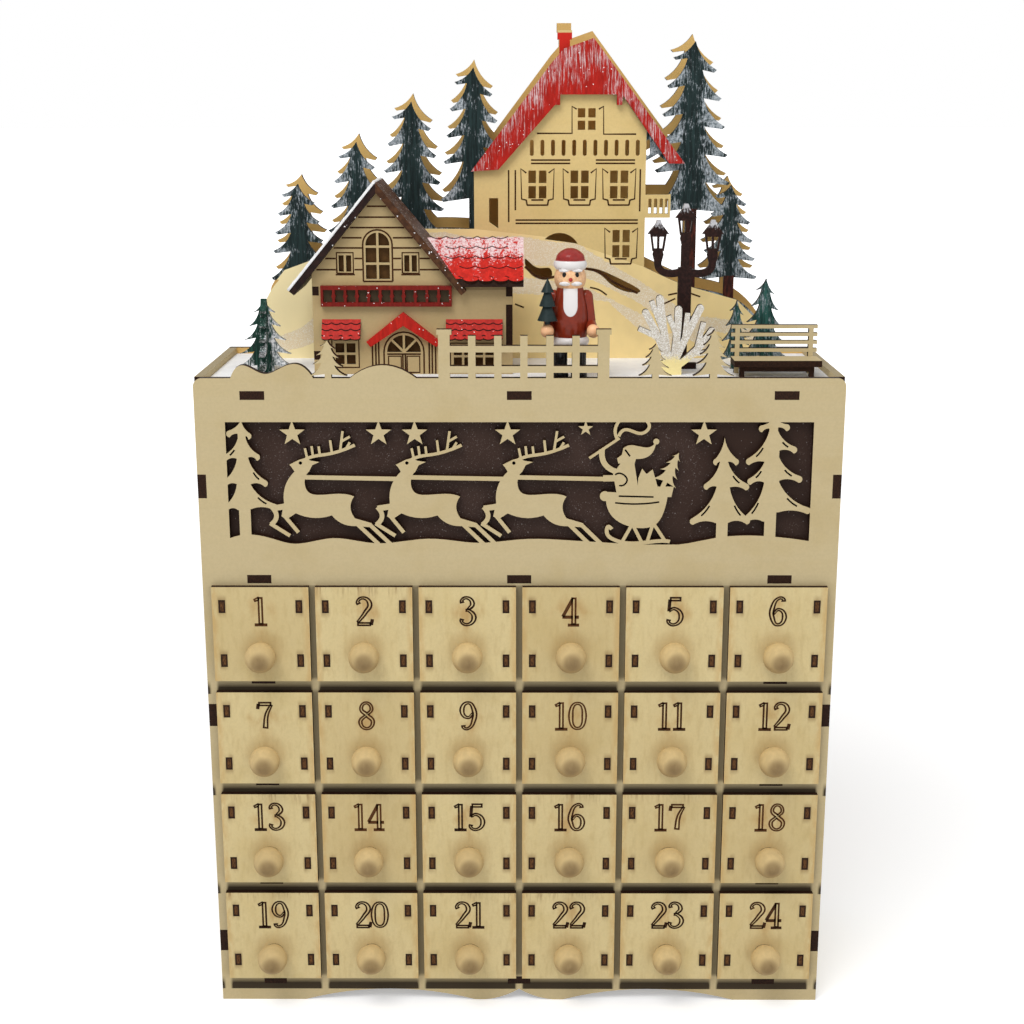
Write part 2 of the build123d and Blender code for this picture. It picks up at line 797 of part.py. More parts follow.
with BuildPart() as strip_lamps:
    with BuildSketch(upright(strip_face)):
        with Locations((0, strip_middle)):
            with GridLocations(strip_length / lamp_count, lamp_size, lamp_count, 1):
                Rectangle(lamp_size, lamp_size)
    extrude(amount=lamp_rise)
write(group(strip_board.part, strip_lamps.part), "led_strip")

# Battery box, let into the back panel from behind
switch_x = (bay_left + bay_right) / 2
switch_z = (box_low + box_high) / 2
with BuildPart() as battery_box:
    with BuildSketch(upright(case_depth)):
        span(box_left, box_right, box_low, box_high)
    extrude(amount=cavity_depth + box_wall)
    with BuildSketch(upright(case_depth + flange)):
        left, right = box_left - flange_margin, box_right + flange_margin
        span(left, right, box_low - flange_margin, box_high + flange_margin)
    extrude(amount=flange)
    # Rails that hold the lid by its long edges
    with BuildSketch(across(lid_left)):
        foot = case_depth + flange
        lip = rail_depth - flange
        for edge, side in ((lid_high, 1), (lid_low, -1)):
            rim = edge + side * (flange_margin + box_wall - lid_overlap)
            wall = edge + side * lid_gap
            tip = edge - side * lid_lip
            outline([(foot, rim), (rail_depth, rim), (rail_depth, tip), (lip, tip), (lip, wall),
                     (foot, wall)])
    extrude(amount=lid_right - lid_left)
    with BuildSketch(upright(case_depth + flange)):
        span(mouth_left, mouth_right, mouth_low, mouth_high)
    extrude(amount=cavity_depth + flange, mode=Mode.SUBTRACT)
    with BuildSketch(upright(case_depth)):
        span(bay_left, bay_right, mouth_low, mouth_high)
    extrude(amount=cavity_depth, mode=Mode.SUBTRACT)
    with BuildSketch(upright(case_depth + flange)):
        with Locations((switch_x, switch_z)):
            Rectangle(switch_nub + switch_travel + 2 * lid_gap, switch_nub_height + 2 * lid_gap)
    extrude(amount=flange, mode=Mode.SUBTRACT)
write(battery_box.part, "battery_box")

with BuildPart() as battery_lid:
    with BuildSketch(upright(lid_depth + lid_thickness)):
        span(lid_left, lid_right, lid_low, lid_high)
    extrude(amount=lid_thickness)
    with BuildSketch(upright(lid_depth + lid_thickness + grip_rise)):
        for ridge in range(grip_count):
            place = lid_right - grip_inset - ridge * 2 * grip_width
            low, high = lid_low + grip_inset, lid_high - grip_inset
            span(place - grip_width / 2, place + grip_width / 2, low, high)
    extrude(amount=grip_rise)
write(battery_lid.part, "battery_lid")

with BuildPart() as power_switch:
    nub_x = switch_x - switch_travel / 2
    plate_face = case_depth - lid_gap
    with BuildSketch(upright(plate_face)):
        with Locations((nub_x, switch_z)):
            Rectangle(switch_nub + 2 * switch_plate_margin, switch_nub_height + 2 * switch_plate_margin)
    extrude(amount=switch_plate)
    nub_top = case_depth + flange + switch_nub_rise
    with BuildSketch(upright(nub_top)):
        with Locations((nub_x, switch_z)):
            Rectangle(switch_nub, switch_nub_height)
    extrude(amount=nub_top - plate_face)
write(power_switch.part, "power_switch")

cell_depth = case_depth - cavity_depth + cell_clearance + cell_radius
cell_pitch = 2 * cell_radius + cell_clearance
cell_heights = [mouth_low + cell_clearance + cell_radius + cell * cell_pitch for cell in range(2)]
cell_start = mouth_left + spring_room / 2
body_length = cell_length - cell_nub_length
with BuildPart() as batteries:
    for cell, height in enumerate(cell_heights):
        body_start = cell_start + cell * cell_nub_length
        nub_start = cell_start + (1 - cell) * body_length
        with BuildSketch(across(body_start)):
            with Locations((cell_depth, height)):
                Circle(cell_radius)
        extrude(amount=body_length)
        with BuildSketch(across(nub_start)):
            with Locations((cell_depth, height)):
                Circle(cell_nub_radius)
        extrude(amount=cell_nub_length)
write(batteries.part, "batteries")

# Bent leaf contacts between the cells and the ends of the box
with BuildPart() as battery_contacts:
    with BuildSketch(upright(cell_depth + contact_depth / 2)):
        for height in cell_heights:
            for wall, side in ((mouth_left, 1), (mouth_right, -1)):
                bow = wall + side * (spring_room / 2 - joint_fit)
                foot = wall + side * contact_leaf
                low, high = height - contact_height / 2, height + contact_height / 2
                outline([(wall, low), (foot, low), (bow, height), (foot, high), (wall, high),
                         (bow - side * contact_leaf, height)])
    extrude(amount=contact_depth)
write(battery_contacts.part, "battery_contacts")


# Hill, tall house and firs, on the panel behind the village and again on the back panel
hill_line = [
    (-126.8, 30.6), (-117.5, 42.2), (-85.0, 56.0), (-47.9, 64.8), (-22.5, 64.7), (20.0, 60.0),
    (62.0, 46.0), (85.1, 36.2), (109.1, 29.5), (122.0, 17.0), (128.0, 0.0),
]
hill_foot = -134.0
house_walls = [
    (-22.4, 40.0), (-22.4, 92.7), (-23.8, 92.7), (15.4, 144.0), (21.6, 150.8), (35.9, 155.7),
    (81.1, 96.5), (73.5, 96.5), (68.0, 101.0), (62.3, 97.7), (62.3, 40.0),
]
house_roof = [
    (-23.8, 92.7), (15.4, 144.0), (21.6, 150.8), (35.9, 155.7), (81.1, 96.5), (73.5, 96.5),
    (50.3, 128.9), (49.9, 124.4), (47.4, 124.4), (47.4, 129.3), (19.8, 129.3), (19.8, 124.4),
    (17.3, 124.4), (-10.3, 93.6),
]
chimney_x = 21.9
chimney_foot = 140.0
chimney_shaft = 5.1
chimney_cap = 7.1
chimney_cap_low = 155.1
chimney_top = 159.4
side_balcony = (60.0, 74.7, 70.1, 81.4)
side_balcony_slots = (64.6, 67.4, 70.2, 72.9)
side_balcony_slot_width = 1.5
side_balcony_rail = 2.0
# x, tip, skirt, half width, foot and tiers of each fir
scene_firs = (
    (-22.4, 142.2, 79.0, 16.5, 58.0, 5), (-52.9, 126.0, 61.5, 17.0, 54.0, 5),
    (-80.3, 106.7, 46.5, 16.0, 40.0, 5), (-109.7, 86.6, 40.5, 14.5, 36.0, 5),
    (85.3, 154.2, 73.7, 20.0, 30.0, 6), (104.8, 85.8, 41.0, 14.0, 24.0, 5),
)
scene_trunk = 5.0
# Long blunt boughs on a slim core
scene_bough = {"stagger": 0.45, "waist": 0.34, "lift": 0.1, "growth": 0.5, "tip": 1.2}
# Middle of each four-pane window, pane width and pane height
house_windows = (
    (8.9, 86.3, 3.7, 6.0), (29.7, 86.3, 3.7, 6.0), (49.2, 86.3, 3.7, 6.0),
    (50.6, 57.4, 3.5, 6.0), (32.9, 117.7, 3.6, 4.4),
)
glazing_bar = 1.5
baluster_slots = 12
baluster_left = 6.1
baluster_pitch = 5.2
baluster_middle = 104.0
baluster_length = 7.7
baluster_slot = 1.9
stair_slot = [(-15.0, 79.7), (-10.5, 79.7), (-10.5, 65.0), (-15.0, 68.1)]
cellar_arch = ((12.7, 59.6), (20.1, 62.7), (29.0, 57.4))
snow_hollows = (
    [(2.7, 49.3), (5.4, 42.6), (9.9, 39.9), (16.1, 40.8), (15.7, 44.8), (7.6, 46.2)],
    [(32.6, 45.7), (38.9, 44.8), (48.7, 40.8), (60.0, 33.2), (57.8, 33.0), (44.3, 38.6), (37.5, 43.5)],
)


def at_width(points):
    """Points drawn for the drawn width, set to the real width of the case."""
    return [(x * stretch, height) for x, height in points]


def village():
    """Hill with the tall house and the firs behind it, in one outline above the snow."""
    shapes = []
    for place, tip, skirt, spread, foot, tiers in scene_firs:
        tree = fir(tip - foot, spread, tiers, scene_trunk, skirt - foot, **scene_bough)
        shapes.append((place * stretch, foot, tree))
    with BuildSketch() as shape:
        with BuildLine():
            ridge = at_width(hill_line)
            Spline(*ridge)
            Polyline(ridge[-1], (hill_foot * stretch, 0), ridge[0])
        make_face()
        outline(at_width(house_walls))
        middle = chimney_x * stretch
        span(middle - chimney_shaft / 2, middle + chimney_shaft / 2, chimney_foot, chimney_top)
        span(middle - chimney_cap / 2, middle + chimney_cap / 2, chimney_cap_low, chimney_top)
        left, right, low, high = side_balcony
        span(left * stretch, right * stretch, low, high)
        for place, foot, tree in shapes:
            with Locations((place, foot)):
                add(tree)
    return shape.sketch


village_shape = village()

with BuildPart() as scene_panel:
    with BuildSketch(scenery(scene_depth + thin_ply)):
        add(village_shape)
        tabs([place * stretch for place in scene_tab_places], tab_width)
        for middle, height, pane_width, pane_height in house_windows:
            with Locations((middle * stretch, height)):
                with GridLocations(pane_width + glazing_bar, pane_height + glazing_bar, 2, 2):
                    Rectangle(pane_width, pane_height, mode=Mode.SUBTRACT)
        for slot in range(baluster_slots):
            with Locations(((baluster_left + slot * baluster_pitch) * stretch, baluster_middle)):
                SlotOverall(baluster_length, baluster_slot, rotation=90, mode=Mode.SUBTRACT)
        for place in side_balcony_slots:
            half = side_balcony_slot_width / 2
            middle = place * stretch
            low, high = side_balcony[2] + side_balcony_rail, side_balcony[3] - side_balcony_rail
            span(middle - half, middle + half, low, high, Mode.SUBTRACT)
        outline(at_width(stair_slot), Mode.SUBTRACT)
        with BuildLine():
            start, crown, end = at_width(cellar_arch)
            ThreePointArc(start, crown, end)
            Line(end, start)
        make_face(mode=Mode.SUBTRACT)
        for hollow in snow_hollows:
            closed(at_width(hollow), Mode.SUBTRACT)
    extrude(amount=thin_ply)
write(scene_panel.part, "scene_panel")

with BuildPart() as tall_house_roof:
    with BuildSketch(scenery(scene_depth)):
        outline(at_width(house_roof))
    extrude(amount=thin_ply)
write(tall_house_roof.part, "tall_house_roof")

with BuildPart() as back_panel:
    with BuildSketch(upright(case_depth)):
        span(-case_width / 2, case_width / 2, 0, case_top)
        with Locations((0, snow_top + back_rise)):
            add(village_shape)
        hill_left, hill_right = hill_foot * stretch, hill_line[-1][0] * stretch
        span(hill_left, hill_right, case_top - case_ply, snow_top + back_rise)
        panel_joints()
        span(box_left - joint_fit, box_right + joint_fit, box_low - joint_fit, box_high + joint_fit,
             Mode.SUBTRACT)
    extrude(amount=case_ply)
write(back_panel.part, "back_panel")


# Chalet: a gabled main house and a wing under a cross roof
glazing = 1.1
arched_half = 5.6
arched_low = 45.2
arched_spring = 61.1
arched_bars = (52.3, 60.2)
fanlight_spring = 10.6
fanlight_radius = 8.0
fanlight_spokes = (45, 90, 135)
# Middle x and height, columns and rows, pane width and pane height
chalet_windows = (
    (-15.4, 52.4, 2, 1, 2.4, 7.6), (15.4, 52.4, 2, 1, 2.4, 7.6),
    (-16.2, 9.8, 2, 2, 4.2, 4.4), (44.7, 8.6, 4, 2, 3.9, 4.0),
)
porch_apex = 29.8
porch_inner_apex = 23.4
porch_outer_foot = (17.6, 15.8)
porch_inner_foot = (15.6, 13.4)
balcony_rail = 1.9
baluster_width = 1.2
baluster_bulb = 1.0


def board_section(side, room=0):
    """Section of a roof board from the ridge to the eave, with some room around it."""
    reach = roof_run + room * (roof_down + roof_out)
    eave = ridge_height - roof_drop + room * (roof_out - roof_down)
    through = thin_ply + 2 * room
    inner_eave = (side * (reach - through * roof_down), eave - through * roof_out)
    inner_ridge = (0, ridge_height - roof_thickness - room / roof_out)
    return [(0, ridge_height + room / roof_out), (side * reach, eave), inner_eave, inner_ridge]


def wing_underside(depth):
    """Height of the wing roof's front slope, measured on its underside."""
    return wing_wall_height + joint_fit + (depth - chalet_depth) * wing_slope


def chalet_wall():
    """Gable and wing wall in one plate, cut round the roof board that runs between them."""
    end = roof_run - thin_ply * roof_down
    left_top = gable_top + roof_slope * chalet_left
    right_top = gable_top - roof_slope * end
    outline([(chalet_left, 0), (chalet_left, left_top), (0, gable_top), (end, right_top), (end, 0)])
    wing_left = (gable_top - wing_wall_height) / roof_slope
    span(wing_left, chalet_right, 0, wing_wall_height)
    outline(board_section(1, joint_fit), Mode.SUBTRACT)
    through = thin_ply + joint_fit
    for low, high in left_wall_tenons:
        span(chalet_left, chalet_left + through, low - joint_fit, high + joint_fit, Mode.SUBTRACT)
    for low, high in wing_wall_tenons:
        span(chalet_right - through, chalet_right, low - joint_fit, high + joint_fit, Mode.SUBTRACT)


def arched_panes():
    """Panes of the arched window in the gable."""
    with BuildSketch() as shape:
        span(-arched_half, arched_half, arched_low, arched_spring)
        with Locations((0, arched_spring)):
            Circle(arched_half)
        span(-glazing / 2, glazing / 2, arched_low, arched_spring + arched_half, Mode.SUBTRACT)
        for bar in arched_bars:
            span(-arched_half, arched_half, bar - glazing / 2, bar + glazing / 2, Mode.SUBTRACT)
    return shape.sketch


def fanlight_panes():
    """Panes over the door, between spokes."""
    with BuildSketch() as shape:
        Circle(fanlight_radius)
        span(-fanlight_radius, fanlight_radius, -fanlight_radius, 0, Mode.SUBTRACT)
        for spoke in fanlight_spokes:
            from_middle = (Align.MIN, Align.CENTER)
            Rectangle(fanlight_radius, glazing, spoke, align=from_middle, mode=Mode.SUBTRACT)
    return shape.sketch


arched_shape = arched_panes()
fanlight_shape = fanlight_panes()

with BuildPart() as chalet_front:
    with BuildSketch(scenery(chalet_depth + thin_ply, chalet_x)):
        chalet_wall()
        tabs(chalet_tab_places, tab_width)
        add(arched_shape, mode=Mode.SUBTRACT)
        with Locations((porch_x, fanlight_spring)):
            add(fanlight_shape, mode=Mode.SUBTRACT)
        for middle, height, across_count, up_count, pane_width, pane_height in chalet_windows:
            with Locations((middle, height)):
                with GridLocations(pane_width + glazing, pane_height + glazing, across_count, up_count):
                    Rectangle(pane_width, pane_height, mode=Mode.SUBTRACT)
    extrude(amount=thin_ply)
write(chalet_front.part, "chalet_front")

wall_front = chalet_depth + thin_ply
wall_rear = chalet_rear - thin_ply
with BuildPart() as chalet_left_wall:
    with BuildSketch(across(chalet_x + chalet_left, snow_top)):
        span(wall_front, wall_rear, 0, gable_top + roof_slope * chalet_left)
        for low, high in left_wall_tenons:
            span(chalet_depth, chalet_rear, low, high)
    extrude(amount=thin_ply)

with BuildPart() as chalet_wing_wall:
    with BuildSketch(across(chalet_x + chalet_right - thin_ply, snow_top)):
        eave = wing_underside(wall_front) - joint_fit
        peak = wing_underside(chalet_middle) - joint_fit
        outline([(wall_front, 0), (wall_front, eave), (chalet_middle, peak), (wall_rear, eave),
                 (wall_rear, 0)])
        for low, high in wing_wall_tenons:
            span(chalet_depth, chalet_rear, low, high)
    extrude(amount=thin_ply)

with BuildPart() as chalet_back_wall:
    with BuildSketch(scenery(chalet_rear, chalet_x)):
        chalet_wall()
    extrude(amount=thin_ply)
write(group(chalet_left_wall.part, chalet_wing_wall.part, chalet_back_wall.part), "chalet_side_walls")

roof_boards = []
for side in (-1, 1):
    with BuildPart() as roof_board:
        with BuildSketch(scenery(chalet_rear + roof_overhang, chalet_x)):
            outline(board_section(side))
        extrude(amount=chalet_rear - chalet_depth + 2 * roof_overhang)
    roof_boards.append(roof_board.part)
write(group(*roof_boards), "chalet_roof_boards")

# Both slopes of the wing roof end against the main roof's right slope
main_slope = Plane((chalet_x, 0, snow_top + ridge_height + joint_fit / roof_out),
                   x_dir=(0, 1, 0), z_dir=(roof_down, 0, roof_out))
wing_boards = []
for side in (-1, 1):
    with BuildPart() as wing_board:
        with BuildSketch(across(chalet_x, snow_top)):
            eave = chalet_middle + side * (chalet_middle - chalet_depth + wing_overhang)
            eave_low = wing_underside(chalet_depth - wing_overhang)
            peak = wing_underside(chalet_middle)
            outline([(eave, eave_low), (eave, eave_low + wing_thickness),
                     (chalet_middle, peak + wing_thickness), (chalet_middle, peak)])
        extrude(amount=chalet_right + wing_overhang)
        split(bisect_by=main_slope, keep=Keep.TOP)
    wing_boards.append(wing_board.part)
write(group(*wing_boards), "chalet_wing_roof")

with BuildPart() as porch_roof:
    with BuildSketch(scenery(chalet_depth, chalet_x)):
        outer, inner = porch_outer_foot, porch_inner_foot
        outline([(porch_x, porch_apex), (porch_x + outer[0], outer[1]),
                 (porch_x + inner[0], inner[1]), (porch_x, porch_inner_apex),
                 (porch_x - inner[0], inner[1]), (porch_x - outer[0], outer[1])])
    extrude(amount=thin_ply)

with BuildPart() as awnings:
    length = hypot(awning_reach, awning_high - awning_low)
    lip = (chalet_depth - awning_reach, awning_low)
    under_lip = (lip[0] + awning_board * (awning_high - awning_low) / length,
                 lip[1] - awning_board * awning_reach / length)
    under_wall = (chalet_depth, awning_high - awning_board * length / awning_reach)
    for left, right in awning_spans:
        with BuildSketch(across(chalet_x + left, snow_top)):
            outline([(chalet_depth, awning_high), lip, under_lip, under_wall])
        extrude(amount=right - left)
write(group(porch_roof.part, awnings.part), "chalet_porch_roofs")

with BuildPart() as chalet_balcony:
    with BuildSketch(scenery(chalet_depth, chalet_x)):
        span(balcony_left, balcony_right, balcony_low, balcony_high)
        pitch = (balcony_right - balcony_left - baluster_width) / (baluster_count - 1)
        hole_low, hole_high = balcony_low + balcony_rail, balcony_high - balcony_rail
        for bay in range(baluster_count - 1):
            hole_left = balcony_left + baluster_width + bay * pitch
            span(hole_left, hole_left + pitch - baluster_width, hole_low, hole_high, Mode.SUBTRACT)
        for bay in range(1, baluster_count - 1):
            middle = balcony_left + baluster_width / 2 + bay * pitch
            with Locations((middle, (hole_low + hole_high) / 2)):
                Circle(baluster_bulb)
    extrude(amount=thin_ply)
write(chalet_balcony.part, "chalet_balcony")

# Turned figure with a little fir in its hand
boot_width = 7.6
boot_length = 11.0
boot_height = 4.5
boot_spread = 4.4
boot_forward = 1.0
boot_corner = 3.4
boot_round = 1.8
leg_radius = 3.4
hem_low = 16.0
hem_high = 20.0
hem_radius = 9.1
coat_radius = 8.5
waist_tuck = 0.5
chest_level = 0.45
collar_radius = 6.0
shoulder_height = 42.7
head_middle = 47.0
head_radius = 7.4
brim_low = 51.0
brim_high = 55.6
brim_radius = 7.7
crown_radius = 6.6
cap_top = 60.7
cap_bulge = (0.72, 0.66)
arm_spread = 7.4
arm_height = 38.4
elbow_spread = 9.2
elbow_height = 26.0
sleeve_radius = 3.2
elbow_radius = 2.9
cuff_radius = 2.5
hand_spread = 10.6
hand_height = 23.4
hand_radius = 3.1
hand_forward = 8.3
arm_room = 0.2
little_fir_trunk = 1.2
little_fir_trunk_height = 1.8
# Half width at the foot, half width at the top, foot and top of each tier above the trunk
little_fir_tiers = ((4.6, 2.0, 0.0, 6.6), (3.8, 1.5, 6.6, 13.0), (3.0, 0.0, 13.0, 19.4))

figure_x = figure_place[0] * stretch
figure_y = face_y + figure_place[1]
figure_plane = Plane((figure_x, figure_y, snow_top), x_dir=(1, 0, 0), z_dir=(0, -1, 0))
figure_axis = Axis((figure_x, figure_y, 0), (0, 0, 1))


def coat_half(room=0):
    """Half outline of the coat with its thick hem, with some room around it."""
    with BuildLine() as half:
        waist = coat_radius - waist_tuck + room
        Polyline((0, shoulder_height), (0, hem_low - room), (waist, hem_low - room))
        hem_middle = (hem_radius + room, (hem_low + hem_high) / 2)
        ThreePointArc((waist, hem_low - room), hem_middle, (waist, hem_high))
        chest = (coat_radius + room, hem_high + chest_level * (shoulder_height - hem_high))
        ThreePointArc((waist, hem_high), chest, (collar_radius + room, shoulder_height))
        Line((collar_radius + room, shoulder_height), (0, shoulder_height))
    return half.line


with BuildPart() as figure_legs:
    with BuildSketch(level(snow_top)):
        for side in (-1, 1):
            with Locations((figure_x + side * boot_spread, figure_place[1] - boot_forward)):
                RectangleRounded(boot_width, boot_length, boot_corner)
    extrude(amount=boot_height)
    fillet(figure_legs.faces().group_by(Axis.Z)[-1].edges(), boot_round)
    with BuildSketch(level(snow_top)):
        for side in (-1, 1):
            with Locations((figure_x + side * boot_spread, figure_place[1])):
                Circle(leg_radius)
    extrude(amount=hem_low)
write(figure_legs.part, "figure_legs")

with BuildPart() as figure_coat:
    with BuildSketch(figure_plane):
        make_face(coat_half().edges())
    revolve(axis=figure_axis)
write(figure_coat.part, "figure_coat")

with BuildPart() as coat_room:
    with BuildSketch(figure_plane):
        make_face(coat_half(arm_room).edges())
    revolve(axis=figure_axis)

# Sleeves hang at the sides, with the forearms held out in front
with BuildPart() as figure_arms:
    for side in (-1, 1):
        shoulder = Vector(figure_x + side * arm_spread, figure_y, snow_top + arm_height)
        elbow = Vector(figure_x + side * elbow_spread, figure_y, snow_top + elbow_height)
        hand = Vector(figure_x + side * hand_spread, figure_y - hand_forward, snow_top + hand_height)
        for start, end, start_radius, end_radius in (
            (shoulder, elbow, sleeve_radius, elbow_radius), (elbow, hand, elbow_radius, cuff_radius),
        ):
            bone = Plane(start, z_dir=end - start)
            with BuildSketch(bone):
                Circle(start_radius)
            with BuildSketch(bone.offset((end - start).length)):
                Circle(end_radius)
            loft()
        for joint, radius in ((shoulder, sleeve_radius), (elbow, elbow_radius), (hand, hand_radius)):
            with Locations(joint):
                Sphere(radius)
    add(coat_room.part, mode=Mode.SUBTRACT)
write(figure_arms.part, "figure_arms")

with BuildPart() as figure_head:
    with BuildSketch(figure_plane):
        with BuildLine():
            neck = sqrt(head_radius ** 2 - (head_middle - shoulder_height) ** 2)
            brow = sqrt(head_radius ** 2 - (brim_low - head_middle) ** 2)
            Polyline((neck, shoulder_height), (0, shoulder_height), (0, brim_low), (brow, brim_low))
            ThreePointArc((brow, brim_low), (head_radius, head_middle), (neck, shoulder_height))
        make_face()
    revolve(axis=figure_axis)
write(figure_head.part, "figure_head")

with BuildPart() as figure_cap:
    with BuildSketch(figure_plane):
        with BuildLine():
            Polyline((0, cap_top), (0, brim_low), (crown_radius, brim_low))
            brim_middle = (brim_radius, (brim_low + brim_high) / 2)
            ThreePointArc((crown_radius, brim_low), brim_middle, (crown_radius, brim_high))
            crown = (cap_bulge[0] * crown_radius, brim_high + cap_bulge[1] * (cap_top - brim_high))
            Spline((crown_radius, brim_high), crown, (0, cap_top), tangents=((0, 1), (-1, 0)))
        make_face()
    revolve(axis=figure_axis)
write(figure_cap.part, "figure_cap")

little_fir_foot = hand_height + hand_radius + joint_fit
little_fir_x = figure_x - hand_spread
little_fir_y = figure_y - hand_forward
with BuildPart() as figure_fir:
    with BuildSketch(Plane((little_fir_x, little_fir_y, snow_top + little_fir_foot),
                           x_dir=(1, 0, 0), z_dir=(0, -1, 0))):
        span(0, little_fir_trunk, 0, little_fir_trunk_height)
        for foot_half, top_half, low, high in little_fir_tiers:
            low += little_fir_trunk_height
            high += little_fir_trunk_height
            tip = [(top_half, high), (0, high)] if top_half else [(0, high)]
            outline([(0, low), (foot_half, low), *tip])
    revolve(axis=Axis((little_fir_x, little_fir_y, 0), (0, 0, 1)))
write(figure_fir.part, "figure_fir")

# Street lamp with three lanterns, cut from one plate
lantern_spread = 13.0
lantern_height = 64.8
middle_lantern_height = 72.3
lantern_root = 13.0
post_foot_width = 3.6
post_stem_width = 6.4
post_neck_width = 4.0
post_ring = (24.0, 9.0, 3.2)
post_shoulder = 49.0
post_foot_plate = (13.0, 3.0)
lamp_arm = [(-13.0, 52.0), (-11.6, 47.6), (-6.4, 46.0), (0.0, 48.4)]
lamp_arm_width = 3.4


def lantern():
    """Lantern drawn about the lower edge of its cap, with panes cut out."""
    with BuildSketch() as shape:
        outline([(-5.1, 0), (5.1, 0), (1.6, 4.6), (0.9, 6.6), (-0.9, 6.6), (-1.6, 4.6)])
        outline([(-3.9, 0), (3.9, 0), (2.7, -8.1), (-2.7, -8.1)])
        outline([(-2.2, -8.0), (2.2, -8.0), (2.6, -9.8), (1.5, -13.9), (-1.5, -13.9), (-2.6, -9.8)])
        outline([(-2.8, -1.3), (-0.5, -1.3), (-0.5, -6.9), (-2.0, -6.9)], Mode.SUBTRACT)
        outline([(2.8, -1.3), (0.5, -1.3), (0.5, -6.9), (2.0, -6.9)], Mode.SUBTRACT)
    return shape.sketch


lantern_shape = lantern()
with BuildPart() as street_lamp:
    with BuildSketch(scenery(lamp_place[1] + thin_ply, lamp_place[0] * stretch)):
        ring_height, ring_width, ring_band = post_ring
        span(-post_foot_width / 2, post_foot_width / 2, 0, ring_height)
        span(-post_stem_width / 2, post_stem_width / 2, ring_height, post_shoulder)
        neck_top = middle_lantern_height - lantern_root
        span(-post_neck_width / 2, post_neck_width / 2, post_shoulder, neck_top)
        with Locations((0, ring_height)):
            SlotOverall(ring_width, ring_band)
        span(-post_foot_plate[0] / 2, post_foot_plate[0] / 2, 0, post_foot_plate[1])
        tabs([0], small_tab_width)
        for side in (-1, 1):
            stroke([(-side * x, height) for x, height in lamp_arm], lamp_arm_width)
            with Locations((side * lantern_spread, lantern_height)):
                add(lantern_shape)
        with Locations((0, middle_lantern_height)):
            add(lantern_shape)
    extrude(amount=thin_ply)
write(street_lamp.part, "street_lamp")

# Frosted bush, drawn from its root
branch_width = 3.4
branches = (
    [(0, 0), (-3.0, 17.0), (-5.9, 36.0)], [(-0.8, 4.0), (-6.0, 17.0), (-12.4, 29.4)],
    [(0.2, 2.0), (2.4, 17.0), (3.0, 31.0)], [(0.8, 4.0), (6.4, 17.0), (13.3, 31.6)],
    [(1.0, 3.0), (9.4, 9.4), (19.0, 20.8)],
)
twig_width = 2.4
twigs = (
    [(-3.4, 19.0), (-9.8, 35.0)], [(-6.6, 18.0), (-15.6, 22.0)], [(2.4, 18.0), (-1.4, 28.0)],
    [(6.0, 16.0), (7.4, 29.4)], [(9.4, 9.6), (17.4, 10.8)], [(12.2, 13.0), (15.0, 25.0)],
)
with BuildPart() as frosted_bush:
    with BuildSketch(scenery(bush_place[1] + thin_ply, bush_place[0] * stretch)):
        for branch in branches:
            stroke(branch, branch_width)
            with Locations(branch[-1]):
                Circle(branch_width / 2)
        for twig in twigs:
            stroke(twig, twig_width)
        span(-small_tab_width, small_tab_width, 0, 2 * branch_width)
        tabs([0], small_tab_width)
    extrude(amount=thin_ply)
write(frosted_bush.part, "frosted_bush")

# Bench: a slatted back, a seat and a front rail on two legs
bench_x = bench_place[0] * stretch
bench_front = bench_place[1]
bench_rear = bench_front + bench_depth
seat_low = bench_seat_height - thin_ply
slat_pitch = (bench_back_height - bench_seat_height) / slat_count
with BuildPart() as bench_back:
    with BuildSketch(scenery(bench_rear + thin_ply, bench_x)):
        for side in (-1, 1):
            post = side * (bench_length / 2 - bench_post_inset)
            span(post - bench_post / 2, post + bench_post / 2, 0, bench_back_height)
        for slat in range(slat_count):
            slat_top = bench_back_height - slat * slat_pitch
            span(-bench_length / 2, bench_length / 2, slat_top - slat_width, slat_top)
    extrude(amount=thin_ply)

with BuildPart() as bench_seat:
    with BuildSketch(level(snow_top + seat_low)):
        span(bench_x - bench_length / 2, bench_x + bench_length / 2, bench_front, bench_rear)
    extrude(amount=thin_ply)

with BuildPart() as bench_legs:
    leg_half = bench_length / 2 - bench_post_inset
    with BuildSketch(scenery(bench_front + 2 * thin_ply, bench_x)):
        span(-leg_half, leg_half, 0, seat_low)
        span(-leg_half + bench_post, leg_half - bench_post, 0, seat_low / 2, Mode.SUBTRACT)
    extrude(amount=thin_ply)
write(group(bench_back.part, bench_seat.part, bench_legs.part), "bench")

# Left fir: two plates crossed half and half
left_fir_height = 35.0
left_fir_half = 14.8
left_fir_trunk = 8.0
left_fir_shape = fir(left_fir_height, left_fir_half, 5, left_fir_trunk, 2.0, stagger=0)
left_fir_x = left_fir_place[0] * stretch
left_fir_middle = left_fir_place[1] + thin_ply / 2
lap = thin_ply / 2 + joint_fit
with BuildPart() as left_fir_wide:
    with BuildSketch(scenery(left_fir_place[1] + thin_ply, left_fir_x)):
        add(left_fir_shape)
        tabs([0], small_tab_width)
        span(-lap, lap, left_fir_height / 2, left_fir_height, Mode.SUBTRACT)
    extrude(amount=thin_ply)

with BuildPart() as left_fir_deep:
    with BuildSketch(Plane((left_fir_x - thin_ply / 2, face_y + left_fir_middle, snow_top),
                           x_dir=(0, 1, 0), z_dir=(1, 0, 0))):
        add(left_fir_shape)
        span(-lap, lap, 0, left_fir_height / 2, Mode.SUBTRACT)
    extrude(amount=thin_ply)
write(group(left_fir_wide.part, left_fir_deep.part), "left_fir")

